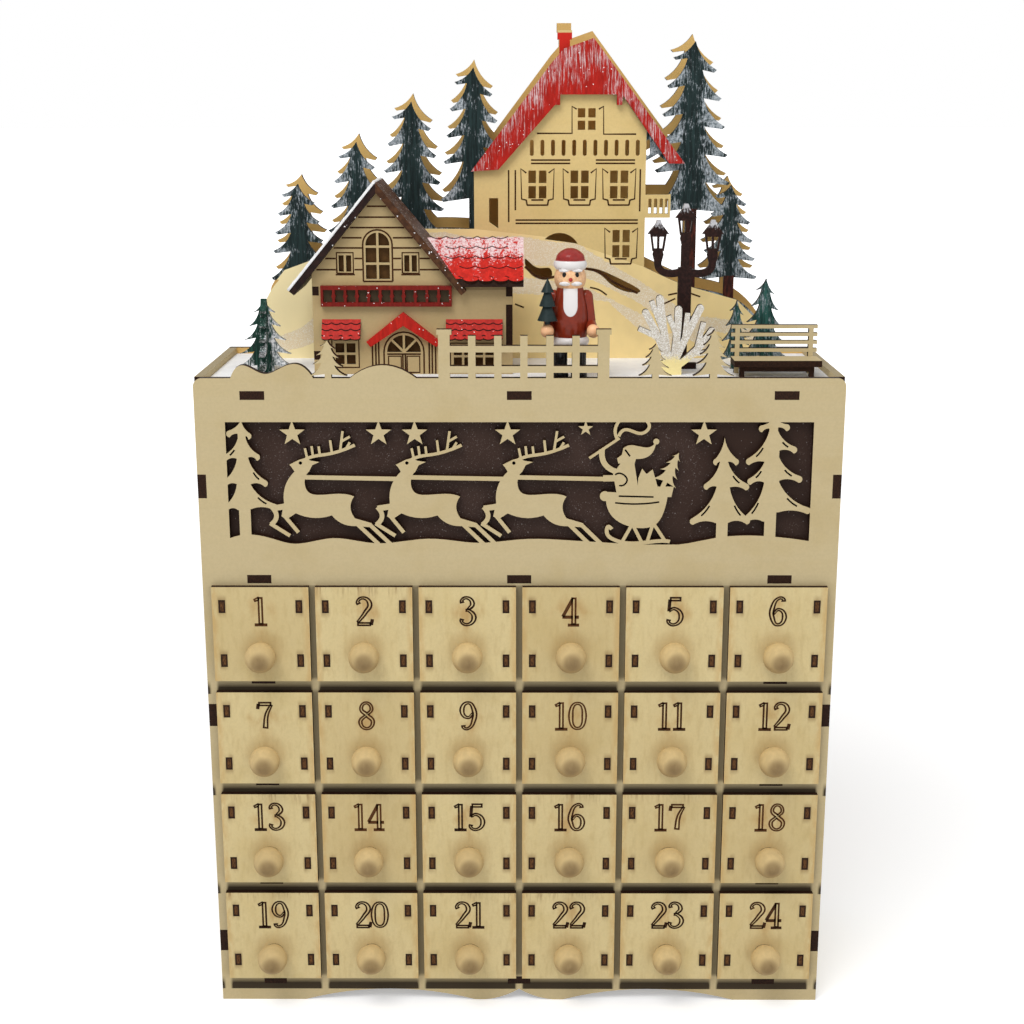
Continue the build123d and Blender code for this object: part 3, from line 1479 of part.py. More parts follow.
right_fir_shapes = (fir(33.2, 8.5, 4, 4.0, 4.0), fir(43.0, 13.0, 5, 4.0, 4.0))
right_fir_plates = []
for (place, depth), shape in zip(right_fir_places, right_fir_shapes):
    with BuildPart() as right_fir:
        with BuildSketch(scenery(depth + thin_ply, place * stretch)):
            add(shape)
            tabs([0], small_tab_width)
        extrude(amount=thin_ply)
    right_fir_plates.append(right_fir.part)
write(group(*right_fir_plates), "right_firs")
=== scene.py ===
import math

import bmesh
import bpy
from mathutils import Matrix, Vector, noise


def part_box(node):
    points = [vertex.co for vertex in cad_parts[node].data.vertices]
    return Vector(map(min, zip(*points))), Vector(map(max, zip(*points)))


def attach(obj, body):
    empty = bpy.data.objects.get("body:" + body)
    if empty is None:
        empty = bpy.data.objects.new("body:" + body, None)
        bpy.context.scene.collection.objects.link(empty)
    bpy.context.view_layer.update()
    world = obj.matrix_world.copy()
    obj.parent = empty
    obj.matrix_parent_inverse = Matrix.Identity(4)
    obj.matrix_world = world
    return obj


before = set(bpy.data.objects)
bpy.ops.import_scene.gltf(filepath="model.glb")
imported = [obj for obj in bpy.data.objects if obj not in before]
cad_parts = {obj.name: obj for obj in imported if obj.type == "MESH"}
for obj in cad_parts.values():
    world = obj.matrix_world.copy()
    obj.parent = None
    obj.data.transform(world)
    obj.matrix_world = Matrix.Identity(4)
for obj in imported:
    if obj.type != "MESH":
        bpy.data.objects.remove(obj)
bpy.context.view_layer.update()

bl_info = {
    "name": "Village Drawer Calendar",
    "version": (1, 0, 0),
    "blender": (4, 5, 0),
    "location": "View3D > Sidebar > Calendar",
    "description": "Dresses a plywood calendar with drawers, a light box and a winter village",
    "category": "Object",
}

MM = 0.001
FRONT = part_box("front_panel")[0].y / MM
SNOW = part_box("snow_sheet")[1].z / MM
FRONT_PROUD = 3.3
DRAWER_FACE = FRONT - FRONT_PROUD
ROWS, COLUMNS = 4, 6
COLUMN_PITCH = 49.0
ROW_PITCH = 52.75
FIRST_SHELF = 13.0
TOP_SHELF = FIRST_SHELF + (ROWS - 1) * ROW_PITCH
BANK_TOP = FIRST_SHELF + ROWS * ROW_PITCH - 5.0
BANK_HALF = COLUMN_PITCH * COLUMNS / 2
FRONT_LOW = 0.7
FRONT_TOP = 47.7
FRONT_HALF = 23.0
TENON_ACROSS = 18.25
TENON_MIDDLE = 24.6
TENON_REACH = 13.5
TENON_HALF_WIDTH = 1.6
TENON_HALF_HEIGHT = 3.2
KNOB_UP = 14.7
NUMBER_UP = 35.0
RIM_UP = 41.0
SCENE_DEPTH = 80.0
CHALET_X = -66.4
CHALET_DEPTH = 30.0
SPREAD_LOW, SPREAD_HIGH = -160.0, 160.0
FIGURE = Vector((23.5, FRONT + 17.0, SNOW))
BURN_PROUD = 0.05
CELL_DEPTH = 1000.0


def tint(red, green, blue):
    """Colour written as it looks on a screen, given as the light that it stands for."""
    def light(part):
        part /= 255
        return part / 12.92 if part <= 0.04045 else ((part + 0.055) / 1.055) ** 2.4
    return (light(red), light(green), light(blue))


def colour_property(label, words, *screen):
    """Colour that a user can change."""
    return bpy.props.FloatVectorProperty(
        name=label, description=words, default=tint(*screen), size=3, min=0, max=1, subtype="COLOR")


def size_property(label, words, default, low, high):
    """Size in millimetres that a user can change."""
    return bpy.props.FloatProperty(name=label, description=words, default=default, min=low, max=high)


class CalendarColours(bpy.types.PropertyGroup):
    """Colours of the bare wood and of the paints."""

    panel: colour_property("Panel wood", "Bare plywood of the case", 194, 177, 138)
    drawer: colour_property("Drawer wood", "Paler plywood of the drawer fronts", 210, 192, 144)
    knob: colour_property("Knob wood", "Turned wood of the knobs", 214, 187, 134)
    scenery: colour_property("Scenery wood", "Plywood of the tall house", 220, 194, 134)
    rear: colour_property("Rear wood", "Bare plywood of the plate behind the village", 212, 175, 108)
    chalet: colour_property("Chalet wood", "Plywood of the chalet", 186, 164, 121)
    engraving: colour_property("Engraving", "Engraved line on the houses", 66, 40, 21)
    # Window card: painted shade, a brown card standing in for the dark inside of the chalet behind its
    # windows
    pane: colour_property("Window card", "Brown card behind the chalet windows", 104, 72, 38)
    burn: colour_property("Burnt edge", "Wood scorched by the cutting beam", 44, 25, 15)
    scorch: colour_property("Digit line", "Line burnt round a digit", 40, 24, 15)
    film: colour_property("Window film", "Dark film behind the fretted window", 50, 34, 27)
    red: colour_property("Roof red", "Paint of the roofs", 204, 42, 32)
    balcony: colour_property("Balcony red", "Darker paint of the chalet balcony", 122, 30, 23)
    fir: colour_property("Fir green", "Paint of the painted firs", 32, 46, 46)
    trunk: colour_property("Trunk brown", "Stain of trunks, lamp and roof edges", 48, 27, 23)
    hill: colour_property("Hill ochre", "Paint of the hill", 254, 228, 164)
    snow: colour_property("Snow white", "Brushed snow", 246, 246, 247)
    coat: colour_property("Coat red", "Gloss paint of the figure's coat", 134, 46, 25)
    cap: colour_property("Cap red", "Gloss paint of the figure's cap", 154, 46, 42)
    skin: colour_property("Skin", "Paint of the figure's head and hands", 255, 198, 150)
    leg: colour_property("Leg black", "Paint of the figure's legs", 22, 22, 26)


class CalendarSizes(bpy.types.PropertyGroup):
    """Sizes of the lines and marks, in millimetres."""

    digit_line: size_property(
        "Digit line", "Width of the burnt line round a digit, in mm", 0.92, 0.1, 1.5)
    digit_drop: size_property(
        "Digit drop", "Middle of a digit below the top of its drawer front, in mm", 11.8, 8.0, 20.0)
    engraved_line: size_property(
        "Engraved line", "Width of an engraved line on the houses, in mm", 0.78, 0.2, 2.0)
    shingle_row: size_property(
        "Shingle row", "Height of a row of shingles on the wing roof, in mm", 6.7, 3.0, 12.0)
    shingle_width: size_property(
        "Shingle width", "Width of a shingle on the wing roof, in mm", 7.4, 3.0, 12.0)


def colours():
    """The colours now set in the scene."""
    return bpy.context.scene.calendar_colours


def sizes():
    """The sizes now set in the scene."""
    return bpy.context.scene.calendar_sizes


class Field:
    """A number that changes over a surface: a shader socket that can stand in a sum."""

    def __init__(self, paint, socket):
        self.paint = paint
        self.socket = socket

    def __add__(self, other):
        return self.paint.sum("ADD", self, other)

    def __sub__(self, other):
        return self.paint.sum("SUBTRACT", self, other)

    def __rsub__(self, other):
        return self.paint.sum("SUBTRACT", other, self)

    def __mul__(self, other):
        return self.paint.sum("MULTIPLY", self, other)

    def __truediv__(self, other):
        return self.paint.sum("DIVIDE", self, other)

    def __mod__(self, other):
        return self.paint.sum("FLOORED_MODULO", self, other)

    def __gt__(self, other):
        return self.paint.sum("GREATER_THAN", self, other)

    def __lt__(self, other):
        return self.paint.sum("LESS_THAN", self, other)

    def __abs__(self):
        return self.paint.sum("ABSOLUTE", self)

    def least(self, other):
        """The smaller of two numbers."""
        return self.paint.sum("MINIMUM", self, other)

    def most(self, other):
        """The larger of two numbers."""
        return self.paint.sum("MAXIMUM", self, other)

    def rise(self, low, high):
        """From 0 at low to 1 at high, eased at both ends."""
        settings = {"interpolation_type": "SMOOTHSTEP", "clamp": True}
        made = self.paint.node("ShaderNodeMapRange", settings,
                               {0: self, 1: low, 2: high, 3: 0.0, 4: 1.0})
        return Field(self.paint, made.outputs[0])

    def between(self, low, high, soft=0.05):
        """1 between two values, with soft ends."""
        return self.rise(low - soft, low + soft) * (1 - self.rise(high - soft, high + soft))

    __radd__ = __add__
    __rmul__ = __mul__


def shade(colour, share):
    """The colour made darker or lighter by a factor."""
    return tuple(min(1.0, part * share) for part in colour)


class Nodes:
    """A node tree under construction."""

    def __init__(self, tree):
        self.tree = tree

    def node(self, kind, settings=None, sockets=None):
        """Any node: its settings first, then the values or links of its sockets."""
        made = self.tree.nodes.new(kind)
        for key, value in (settings or {}).items():
            if key == "points":
                self.bend(made.mapping, value)
            else:
                setattr(made, key, value)
        for key, value in (sockets or {}).items():
            if isinstance(value, Field):
                value = value.socket
            if isinstance(value, bpy.types.NodeSocket):
                self.tree.links.new(value, made.inputs[key])
            else:
                made.inputs[key].default_value = value
        return made

    def bend(self, mapping, spots):
        """Run a curve node's line straight from spot to spot."""
        points = mapping.curves[0].points
        points[0].location, points[1].location = spots[0], spots[-1]
        for spot in spots[1:-1]:
            points.new(*spot)
        for point in points:
            point.handle_type = "VECTOR"
        mapping.update()

    def sum(self, operation, first, second=0.0):
        """One step of arithmetic."""
        made = self.node("ShaderNodeMath", {"operation": operation}, {0: first, 1: second})
        return Field(self, made.outputs[0])

    def vector(self, operation, first, second):
        """One step of arithmetic on vectors."""
        made = self.node("ShaderNodeVectorMath", {"operation": operation}, {0: first, 1: second})
        return made.outputs[0]

    def parts(self, vector):
        """The three numbers in a vector."""
        made = self.node("ShaderNodeSeparateXYZ", None, {0: vector})
        return [Field(self, socket) for socket in made.outputs]


class Paint(Nodes):
    """A material under construction, measured in millimetres on the piece."""

    def __init__(self, name, roughness=0.65, coat=0.0, specular=0.12):
        self.material = bpy.data.materials.new(name)
        self.material.use_nodes = True
        super().__init__(self.material.node_tree)
        self.shader = self.tree.nodes["Principled BSDF"]
        self.shader.inputs["Roughness"].default_value = roughness
        self.shader.inputs["Coat Weight"].default_value = coat
        self.shader.inputs["Coat Roughness"].default_value = 0.12
        self.shader.inputs["Specular IOR Level"].default_value = specular
        where = self.node("ShaderNodeTexCoord")
        self.place = self.vector("MULTIPLY", where.outputs["Object"], [1 / MM] * 3)
        self.x, self.y, self.z = self.parts(self.place)
        self.facing = self.parts(where.outputs["Normal"])

    def noise(self, scale, stretch=(1, 1, 1), detail=3.0, rough=0.55):
        """Cloudy number from 0 to 1, at a scale per millimetre."""
        vector = self.vector("MULTIPLY", self.place, [scale * part for part in stretch])
        made = self.node("ShaderNodeTexNoise", None,
                         {"Vector": vector, "Scale": 1.0, "Detail": detail, "Roughness": rough})
        return Field(self, made.outputs[0])

    def grains(self, scale, share):
        """1 on a share of small cells, as glitter lies on paint."""
        made = self.node("ShaderNodeTexVoronoi", None, {"Vector": self.place, "Scale": scale})
        tone = self.node("ShaderNodeSeparateColor", None, {0: made.outputs["Color"]})
        return Field(self, tone.outputs[0]) > (1 - share)

    def cell(self, x, z, start):
        """Number from 0 to 1 that jumps from one cell of a grid to the next."""
        step = self.vector("DIVIDE", self.vector("SUBTRACT", self.place, start), (x, CELL_DEPTH, z))
        whole = self.node("ShaderNodeVectorMath", {"operation": "FLOOR"}, {0: step}).outputs[0]
        made = self.node("ShaderNodeTexWhiteNoise", {"noise_dimensions": "3D"}, {"Vector": whole})
        return Field(self, made.outputs["Value"])

    def height_line(self, points):
        """Height of a line drawn across the backdrop, level with the snow beyond its ends."""
        top = max(height for x, height in points)
        span = SPREAD_HIGH - SPREAD_LOW
        spots = [((x - SPREAD_LOW) / span, height / top)
                 for x, height in ((SPREAD_LOW, 0), *points, (SPREAD_HIGH, 0))]
        along = (self.x - SPREAD_LOW) / span
        made = self.node("ShaderNodeFloatCurve", {"points": spots}, {"Value": along})
        return Field(self, made.outputs[0]) * top

    def near(self, x, y, z, reach):
        """1 within a reach of a point."""
        made = self.node("ShaderNodeVectorMath", {"operation": "DISTANCE"},
                         {0: self.place, 1: (x, y, z)})
        return 1 - Field(self, made.outputs["Value"]).rise(reach - 0.1, reach + 0.1)

    def mix(self, share, under, over):
        """Two colours, the second laid over the first by a share."""
        def full(colour):
            return colour if isinstance(colour, bpy.types.NodeSocket) else (*colour, 1.0)
        made = self.node("ShaderNodeMix", {"data_type": "RGBA"},
                         {0: share, 6: full(under), 7: full(over)})
        return made.outputs[2]

    def tones(self, field, tone, dark, light, low=0.3, high=0.75):
        """A colour that runs from a dark to a light shade of a tone as a field rises."""
        return self.mix(field.rise(low, high), shade(tone, dark), shade(tone, light))

    def edges(self, axis):
        """1 on the cut edges of a board that faces along an axis."""
        return abs(self.facing[axis]) < 0.6

    def finish(self, colour, height=None, depth=0.1, strength=0.4, rough=None):
        """Join the colour, the relief and the gloss to the surface."""
        def join(socket, value):
            if isinstance(value, Field):
                value = value.socket
            self.tree.links.new(value, self.shader.inputs[socket])
        if isinstance(colour, bpy.types.NodeSocket):
            join("Base Color", colour)
        else:
            self.shader.inputs["Base Color"].default_value = (*colour, 1.0)
        if rough is not None:
            join("Roughness", rough)
        if height is not None:
            bump = self.node("ShaderNodeBump", None,
                             {"Height": height, "Strength": strength, "Distance": depth * MM})
            join("Normal", bump.outputs[0])
        return self.material


GRAIN = {"x": (0.05, 1.0, 1.0), "y": (1.0, 0.05, 1.0), "z": (1.0, 1.0, 0.05)}


def wood_face(paint, tone, along):
    """Sanded plywood: fine fibres, slow bands and warm blotches. Returns its colour and relief."""
    fibre = paint.noise(1.7, GRAIN[along], 4.0, 0.6)
    band = paint.noise(0.16, GRAIN[along], 2.0)
    blotch = paint.noise(0.035, detail=3.0)
    speck = paint.noise(0.9, (1, 1, 1), 3.0, 0.7)
    warm = (tone[0] * 0.93, tone[1] * 0.86, tone[2] * 0.68)
    colour = paint.mix(band.rise(0.35, 0.72) * 0.7, tone, warm)
    colour = paint.mix(fibre.rise(0.48, 0.78) * 0.30, colour, shade(tone, 0.70))
    colour = paint.mix(fibre.rise(0.22, 0.42) * 0.22, shade(tone, 1.14), colour)
    colour = paint.mix(blotch.rise(0.48, 0.72) * 0.34, colour, warm)
    colour = paint.mix(speck.rise(0.36, 0.66) * 0.16, colour, shade(tone, 0.78))
    return colour, fibre


def burnt(paint, colour, mask):
    """Lay the scorched brown of a cut edge over a colour, uneven along the plies."""
    ply = paint.noise(1.5, (1, 1, 1), 3.0)
    return paint.mix(mask, colour, paint.tones(ply, colours().burn, 0.6, 1.4, 0.35, 0.7))


def sanded(paint, colour, fibre, rough=0.5):
    """Finish of a sanded board, a little rougher along its fibres."""
    return paint.finish(colour, fibre, 0.06, 0.35, rough=fibre * 0.2 + rough)


def plywood(name, tone, face, along):
    """Bare board that faces along an axis (0 x, 1 y, 2 z), with burnt edges."""
    paint = Paint(name)
    colour, fibre = wood_face(paint, tone, along)
    colour = burnt(paint, colour, paint.edges(face))
    return sanded(paint, colour, fibre)


def plain(name, tone, roughness, coat=0.0, grain=0.7):
    """One even finish with a fine uneven surface."""
    paint = Paint(name, roughness, coat)
    cloud = paint.noise(grain, detail=4.0)
    colour = paint.tones(cloud, tone, 0.82, 1.12)
    return paint.finish(colour, cloud, 0.05, 0.25, rough=cloud * 0.2 + (roughness - 0.1))


def dress(material, *nodes):
    """Give CAD nodes a material."""
    for node in nodes:
        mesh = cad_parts[node].data
        mesh.materials.clear()
        mesh.materials.append(material)


def spread_snow(paint, amount, streak, scale=0.9):
    """Share of brushed snow: a slow field broken into vertical brush marks."""
    brush = paint.noise(scale, (1, 1, streak), 5.0, 0.68)
    return (amount + (brush - 0.5) * 2.2).rise(0.42, 0.8)


def standing(x, depth, height):
    """Place of a drawing on a plate that faces the front: x, depth, height above the table, in mm."""
    return leaning(x, depth, height, math.pi / 2)


def leaning(x, depth, height, angle):
    """Place of a drawing on a slope that rises to the back by an angle."""
    turn = Matrix.Rotation(angle, 4, "X")
    return Matrix.Scale(MM, 4) @ Matrix.Translation((x, FRONT + depth, height)) @ turn


def piece(name, shape, place, material, body, smooth=False):
    """Make a finished bmesh an object at the origin, riding on a body."""
    bmesh.ops.transform(shape, matrix=place, verts=shape.verts)
    bmesh.ops.recalc_face_normals(shape, faces=shape.faces)
    mesh = bpy.data.meshes.new(name)
    shape.to_mesh(mesh)
    shape.free()
    for face in mesh.polygons:
        face.use_smooth = smooth
    mesh.materials.append(material)
    made = bpy.data.objects.new(name, mesh)
    bpy.context.scene.collection.objects.link(made)
    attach(made, body)
    return made


def ribbons(strokes):
    """Flat bands along strokes, each its points (x, y, width) and whether it is smooth and closed."""
    curve = bpy.data.curves.new("strokes", "CURVE")
    curve.dimensions = "3D"
    curve.twist_mode = "Z_UP"
    curve.extrude = 0.5
    curve.resolution_u = 7
    for points, smooth, closed in strokes:
        spline = curve.splines.new("BEZIER")
        spline.bezier_points.add(len(points) - 1)
        spline.use_cyclic_u = closed
        for spot, (x, y, width) in zip(spline.bezier_points, points):
            spot.co = (x, y, 0)
            spot.radius = width
            spot.tilt = math.pi / 2
            spot.handle_left_type = spot.handle_right_type = "AUTO" if smooth else "VECTOR"
    holder = bpy.data.objects.new("strokes", curve)
    bpy.context.scene.collection.objects.link(holder)
    bpy.context.view_layer.update()
    flat = bpy.data.meshes.new_from_object(holder.evaluated_get(bpy.context.evaluated_depsgraph_get()))
    shape = bmesh.new()
    shape.from_mesh(flat)
    bpy.data.objects.remove(holder)
    bpy.data.curves.remove(curve)
    bpy.data.meshes.remove(flat)
    return shape


def pull(shape, rise):
    """Extrude all faces of a flat shape straight up or down. Returns the moved vertices."""
    made = bmesh.ops.extrude_face_region(shape, geom=shape.faces[:])
    moved = [part for part in made["geom"] if isinstance(part, bmesh.types.BMVert)]
    bmesh.ops.translate(shape, verts=moved, vec=(0, 0, rise))
    return moved


def thicken(shape, proud):
    """Give flat bands a little thickness, seated just inside the board."""
    bmesh.ops.recalc_face_normals(shape, faces=shape.faces)
    pull(shape, proud * 1.5)
    bmesh.ops.translate(shape, verts=shape.verts, vec=(0, 0, -proud / 2))


def line(*points, width=None):
    """Straight engraved stroke through points."""
    width = width or sizes().engraved_line
    return ([(x, y, width) for x, y in points], False, False)


def curve_line(*points, width=None, closed=False):
    """Smooth engraved stroke through points."""
    width = width or sizes().engraved_line
    return ([(x, y, width) for x, y in points], True, closed)


def frame_line(left, right, low, high):
    """Engraved rectangle."""
    return line((left, low), (right, low), (right, high), (left, high), (left, low))


def engrave(name, strokes, place, material=None):
    """Burnt lines drawn on a plate of the case."""
    shape = ribbons(strokes)
    thicken(shape, BURN_PROUD)
    return piece(name, shape, place, material or engraved_line(), "case")


def engraved_line():
    """Material of every engraved line on the houses."""
    found = bpy.data.materials.get("engraved_line")
    if found:
        return found
    paint = Paint("engraved_line", 0.85)
    soot_and_shade = paint.noise(0.9, detail=4.0)
    colour = paint.tones(soot_and_shade, colours().engraving, 0.7, 1.6, 0.35)
    return paint.finish(colour, soot_and_shade, 0.05, 0.4, rough=soot_and_shade * 0.2 + 0.7)


def digit_line():
    """Material of the burnt digits, darker on some drawers than on others."""
    paint = Paint("digit_line", 0.85)
    own = drawer_own(paint)
    soot_and_shade = paint.noise(0.8, detail=4.0)
    brown = paint.mix(own * own * 0.6, colours().scorch, tint(104, 66, 36))
    colour = paint.mix(soot_and_shade.rise(0.45, 0.8) * 0.5, brown, tint(112, 72, 38))
    return paint.finish(colour, soot_and_shade, 0.05, 0.4, rough=soot_and_shade * 0.2 + 0.7)


# Strokes of each digit: points with the stroke's width there, and whether the stroke is smooth
DIGITS = {
    "0": [([(0, 0.8, 1.1), (-3.1, 7, 2.2), (0, 13.2, 1.1), (3.1, 7, 2.2)], True, True)],
    "1": [([(0, 0.5, 1.9), (0, 13.7, 1.9)], False, False),
          ([(-2.9, 0.4, 0.9), (2.9, 0.4, 0.9)], False, False),
          ([(-2.9, 11.9, 1.0), (-0.3, 13.1, 1.5)], False, False)],
    "2": [([(-2.2, 10.2, 1.8), (-2.8, 11.4, 1.2), (-0.2, 13.3, 1.1), (2.7, 10.6, 2.1),
            (0.6, 6.3, 1.7), (-3.0, 1.6, 1.0)], True, False),
          ([(-3.3, 0.8, 1.5), (3.2, 0.8, 1.5)], False, False),
          ([(3.2, 0.4, 1.1), (3.8, 3.2, 1.0)], False, False)],
    "3": [([(-2.3, 10.8, 1.7), (-2.6, 12.0, 1.2), (-0.2, 13.4, 1.1), (2.3, 10.6, 2.0),
            (0.2, 7.6, 1.1)], True, False),
          ([(-0.9, 7.4, 1.0), (0.4, 7.4, 1.1), (3.0, 4.0, 2.1), (0, 0.6, 1.1), (-2.8, 2.2, 1.2),
            (-2.4, 3.4, 1.7)], True, False)],
    "4": [([(1.3, 0.5, 1.9), (1.3, 13.6, 1.9)], False, False),
          ([(0.9, 13.2, 1.0), (-3.7, 4.4, 1.0)], False, False),
          ([(-3.9, 4.2, 1.0), (3.6, 4.2, 1.0)], False, False),
          ([(-1.4, 0.4, 0.9), (3.8, 0.4, 0.9)], False, False)],
    "5": [([(-2.3, 12.8, 1.7), (3.0, 12.8, 1.7)], False, False),
          ([(-2.2, 12.6, 1.0), (-2.6, 7.0, 1.0)], False, False),
          ([(-2.6, 7.2, 1.0), (0, 8.3, 1.2), (3.0, 4.4, 2.1), (0, 0.6, 1.1), (-2.8, 2.0, 1.2),
            (-2.5, 3.2, 1.7)], True, False)],
    "6": [([(2.3, 11.6, 1.8), (2.2, 12.8, 1.2), (0.2, 13.3, 1.1), (-2.7, 8.6, 2.0), (-2.7, 4.2, 2.0),
            (0, 0.6, 1.1), (2.9, 4.2, 2.1), (0.3, 7.9, 1.1), (-2.4, 5.6, 1.0)], True, False)],
    "7": [([(-2.9, 12.7, 1.7), (3.3, 12.7, 1.7)], False, False),
          ([(-2.8, 12.8, 1.0), (-3.2, 10.2, 1.1)], False, False),
          ([(3.2, 12.4, 1.1), (0.9, 7.4, 1.7), (0.1, 0.6, 2.2)], True, False)],
    "8": [([(0, 7.5, 1.9), (-2.4, 10.4, 1.5), (0, 13.3, 1.1), (2.4, 10.4, 1.5), (0, 7.4, 1.1),
            (-2.9, 3.8, 1.7), (0, 0.6, 1.1), (2.9, 3.8, 1.7)], True, True)],
    "9": [([(-2.3, 2.4, 1.8), (-2.2, 1.2, 1.2), (-0.2, 0.7, 1.1), (2.7, 5.4, 2.0), (2.7, 9.8, 2.0),
            (0, 13.4, 1.1), (-2.9, 9.8, 2.1), (-0.3, 6.1, 1.1), (2.4, 8.4, 1.0)], True, False)],
}
DIGIT_HEIGHT = 14.0
DIGIT_ADVANCE = {"1": 6.9}
USUAL_ADVANCE = 8.1
DIGIT_WEIGHT = 0.6
DIGIT_SCALE = 1.04
THINNEST = 0.16


def number_shape(text, trim):
    """Number in strokes about the origin, with a trim taken off the sides and ends of each stroke."""
    advances = [DIGIT_ADVANCE.get(digit, USUAL_ADVANCE) for digit in text]
    left = -sum(advances) / 2
    strokes = []
    for digit, advance in zip(text, advances):
        middle = left + advance / 2
        left += advance
        for points, smooth, closed in DIGITS[digit]:
            bold = [width + DIGIT_WEIGHT for x, y, width in points]
            if max(bold) < 2 * trim + THINNEST:
                continue
            spots = [DIGIT_SCALE * Vector((x + middle, y - DIGIT_HEIGHT / 2)) for x, y, width in points]
            if trim and not closed:
                spots[0] += (spots[1] - spots[0]).normalized() * trim
                spots[-1] += (spots[-2] - spots[-1]).normalized() * trim
            widths = [max(width - 2 * trim, THINNEST) for width in bold]
            marks = [(spot.x, spot.y, width) for spot, width in zip(spots, widths)]
            strokes.append((marks, smooth, closed))
    return ribbons(strokes)


def bank_place(paint):
    """Place on the drawer bank: across from a column's middle, and up from its shelf."""
    across = (paint.x + BANK_HALF) % COLUMN_PITCH - COLUMN_PITCH / 2
    return across, (paint.z - FIRST_SHELF) % ROW_PITCH


def drawer_own(paint):
    """Number from 0 to 1 of each drawer's own."""
    return paint.cell(COLUMN_PITCH, ROW_PITCH, (-BANK_HALF, 0, FIRST_SHELF))


def front_finish():
    """Bare front panel, with painted shade in the gap above each drawer front and painted shadow in the
    slits between the drawers.
    """
    paint = Paint("front_plywood")
    colour, fibre = wood_face(paint, colours().panel, "x")
    across, up = bank_place(paint)
    lower_rows = paint.z < TOP_SHELF
    bank = lower_rows.most(paint.z < BANK_TOP) * (paint.z > FIRST_SHELF)
    # Painted shade: the panel darkens just above each drawer front, in the gap under the drawer above.
    soot_and_shade = (1 - up.rise(FRONT_TOP - 0.4, FRONT_TOP + 5.6)) * (up > FRONT_TOP - 2) * lower_rows
    soot_and_shade = soot_and_shade * (1 - abs(across).rise(FRONT_HALF - 1.2, FRONT_HALF + 0.6))
    colour = paint.mix((soot_and_shade * 1.22).least(0.95), colour, tint(38, 27, 18))
    # Painted shadow in the slits between the drawer fronts.
    slit_shadow = abs(across).rise(FRONT_HALF - 0.6, FRONT_HALF + 0.2) * up.between(FRONT_LOW, FRONT_TOP, 1.4)
    slit_shadow = slit_shadow * bank * (abs(paint.x) < BANK_HALF - 1.2)
    colour = paint.mix(slit_shadow * 0.5, colour, tint(62, 48, 34))
    colour = burnt(paint, colour, paint.edges(1))
    return sanded(paint, colour, fibre)


class CALENDAR_OT_case(bpy.types.Operator):
    """Bare plywood of the case, with burnt edges and tenon ends."""

    bl_idname = "calendar.case"
    bl_label = "Case"

    def execute(self, context):
        wood = colours().panel
        dress(front_finish(), "front_panel")
        dress(plywood("rear_plywood", colours().rear, 1, "x"), "back_panel")
        dress(self.sides(wood), "left_side", "right_side", "column_dividers")
        dress(plywood("board_plywood", wood, 2, "x"), "base_board", "drawer_shelves",
              "light_box_floor", "top_deck")
        paint = Paint("deck_snow", 0.7)
        drift = paint.noise(0.12, detail=5.0)
        sparkle = paint.grains(1.4, 0.05)
        colour = paint.mix(drift.rise(0.3, 0.7), colours().snow, (1, 1, 1))
        colour = paint.mix(sparkle * 0.5, colour, (1, 1, 1))
        dress(paint.finish(colour, drift, 0.6, 0.4), "snow_sheet")
        return {"FINISHED"}

    def sides(self, wood):
        """Side panels, whose top edges are sanded almost clean."""
        paint = Paint("side_plywood")
        colour, fibre = wood_face(paint, wood, "z")
        clean = paint.facing[2] > 0.6
        colour = burnt(paint, colour, paint.edges(0) * (1 - clean * 0.6))
        return sanded(paint, colour, fibre)


def drawer_wood(paint, across, own):
    """Pale mottled wood, a little darker on some drawers. Returns its colour and relief."""
    colour, fibre = wood_face(paint, colours().drawer, "z")
    colour = paint.mix((own * own) * 0.34, colour, tint(180, 154, 102))
    mottle = paint.noise(0.42, (1, 1, 0.3), 5.0, 0.62)
    colour = paint.mix(mottle.rise(0.46, 0.7) * 0.2, colour, tint(176, 148, 96))
    rim = abs(across).rise(FRONT_HALF - 4, FRONT_HALF) * mottle.rise(0.3, 0.55)
    return paint.mix(rim * 0.45, colour, tint(196, 152, 88)), fibre


def scorched(paint, colour, place, own, smoke):
    """Warm scorch round the number, burn licks under the top edge and a painted shadow ring round the
    knob.
    """
    across, up = place
    halo = (1 - (abs(across) / 12 + abs(up - NUMBER_UP) / 15).rise(0.3, 1.1)) * smoke.rise(0.4, 0.68)
    colour = paint.mix(halo * 0.62, colour, tint(176, 132, 72))
    lick = paint.noise(0.8, (1, 1, 0.07), 4.0).rise(0.44, 0.7) * up.rise(FRONT_TOP - 7.2, FRONT_TOP)
    lick = lick * smoke.rise(0.36, 0.6) * (own * 3.7 % 1).rise(0.5, 0.9)
    colour = paint.mix(lick * 0.6, colour, tint(124, 84, 46))
    # Painted shadow: a soft darker ring round the knob.
    low = up - KNOB_UP - 2
    ring = 1 - ((across * across + low * low) / 130).rise(0.35, 1.0)
    return paint.mix(ring * 0.22, colour, tint(172, 140, 90))


def tenon_ends(paint, colour, place, smoke):
    """Four burnt tenon ends on a drawer front, with soot round them and paler hearts."""
    across, up = place
    side = abs(abs(across) - TENON_ACROSS)
    tall = abs(abs(up - TENON_MIDDLE) - TENON_REACH)
    soot_and_shade = (1 - side.rise(1.2, 2.8)) * (1 - (tall - 2).rise(0.6, 4.4)) * smoke.rise(0.36, 0.6)
    colour = paint.mix(soot_and_shade * 0.55, colour, tint(118, 80, 42))
    tenon = side.between(-1, TENON_HALF_WIDTH, 0.12) * tall.between(-1, TENON_HALF_HEIGHT, 0.12)
    heart = side.between(-1, TENON_HALF_WIDTH / 2, 0.4) * tall.between(-1, TENON_HALF_HEIGHT - 0.9, 0.5)
    ply = paint.noise(1.1, (3, 1, 0.6), 3.0)
    brown = paint.mix(heart * ply.rise(0.3, 0.65), colours().scorch, tint(112, 74, 40))
    return paint.mix(tenon, colour, brown)


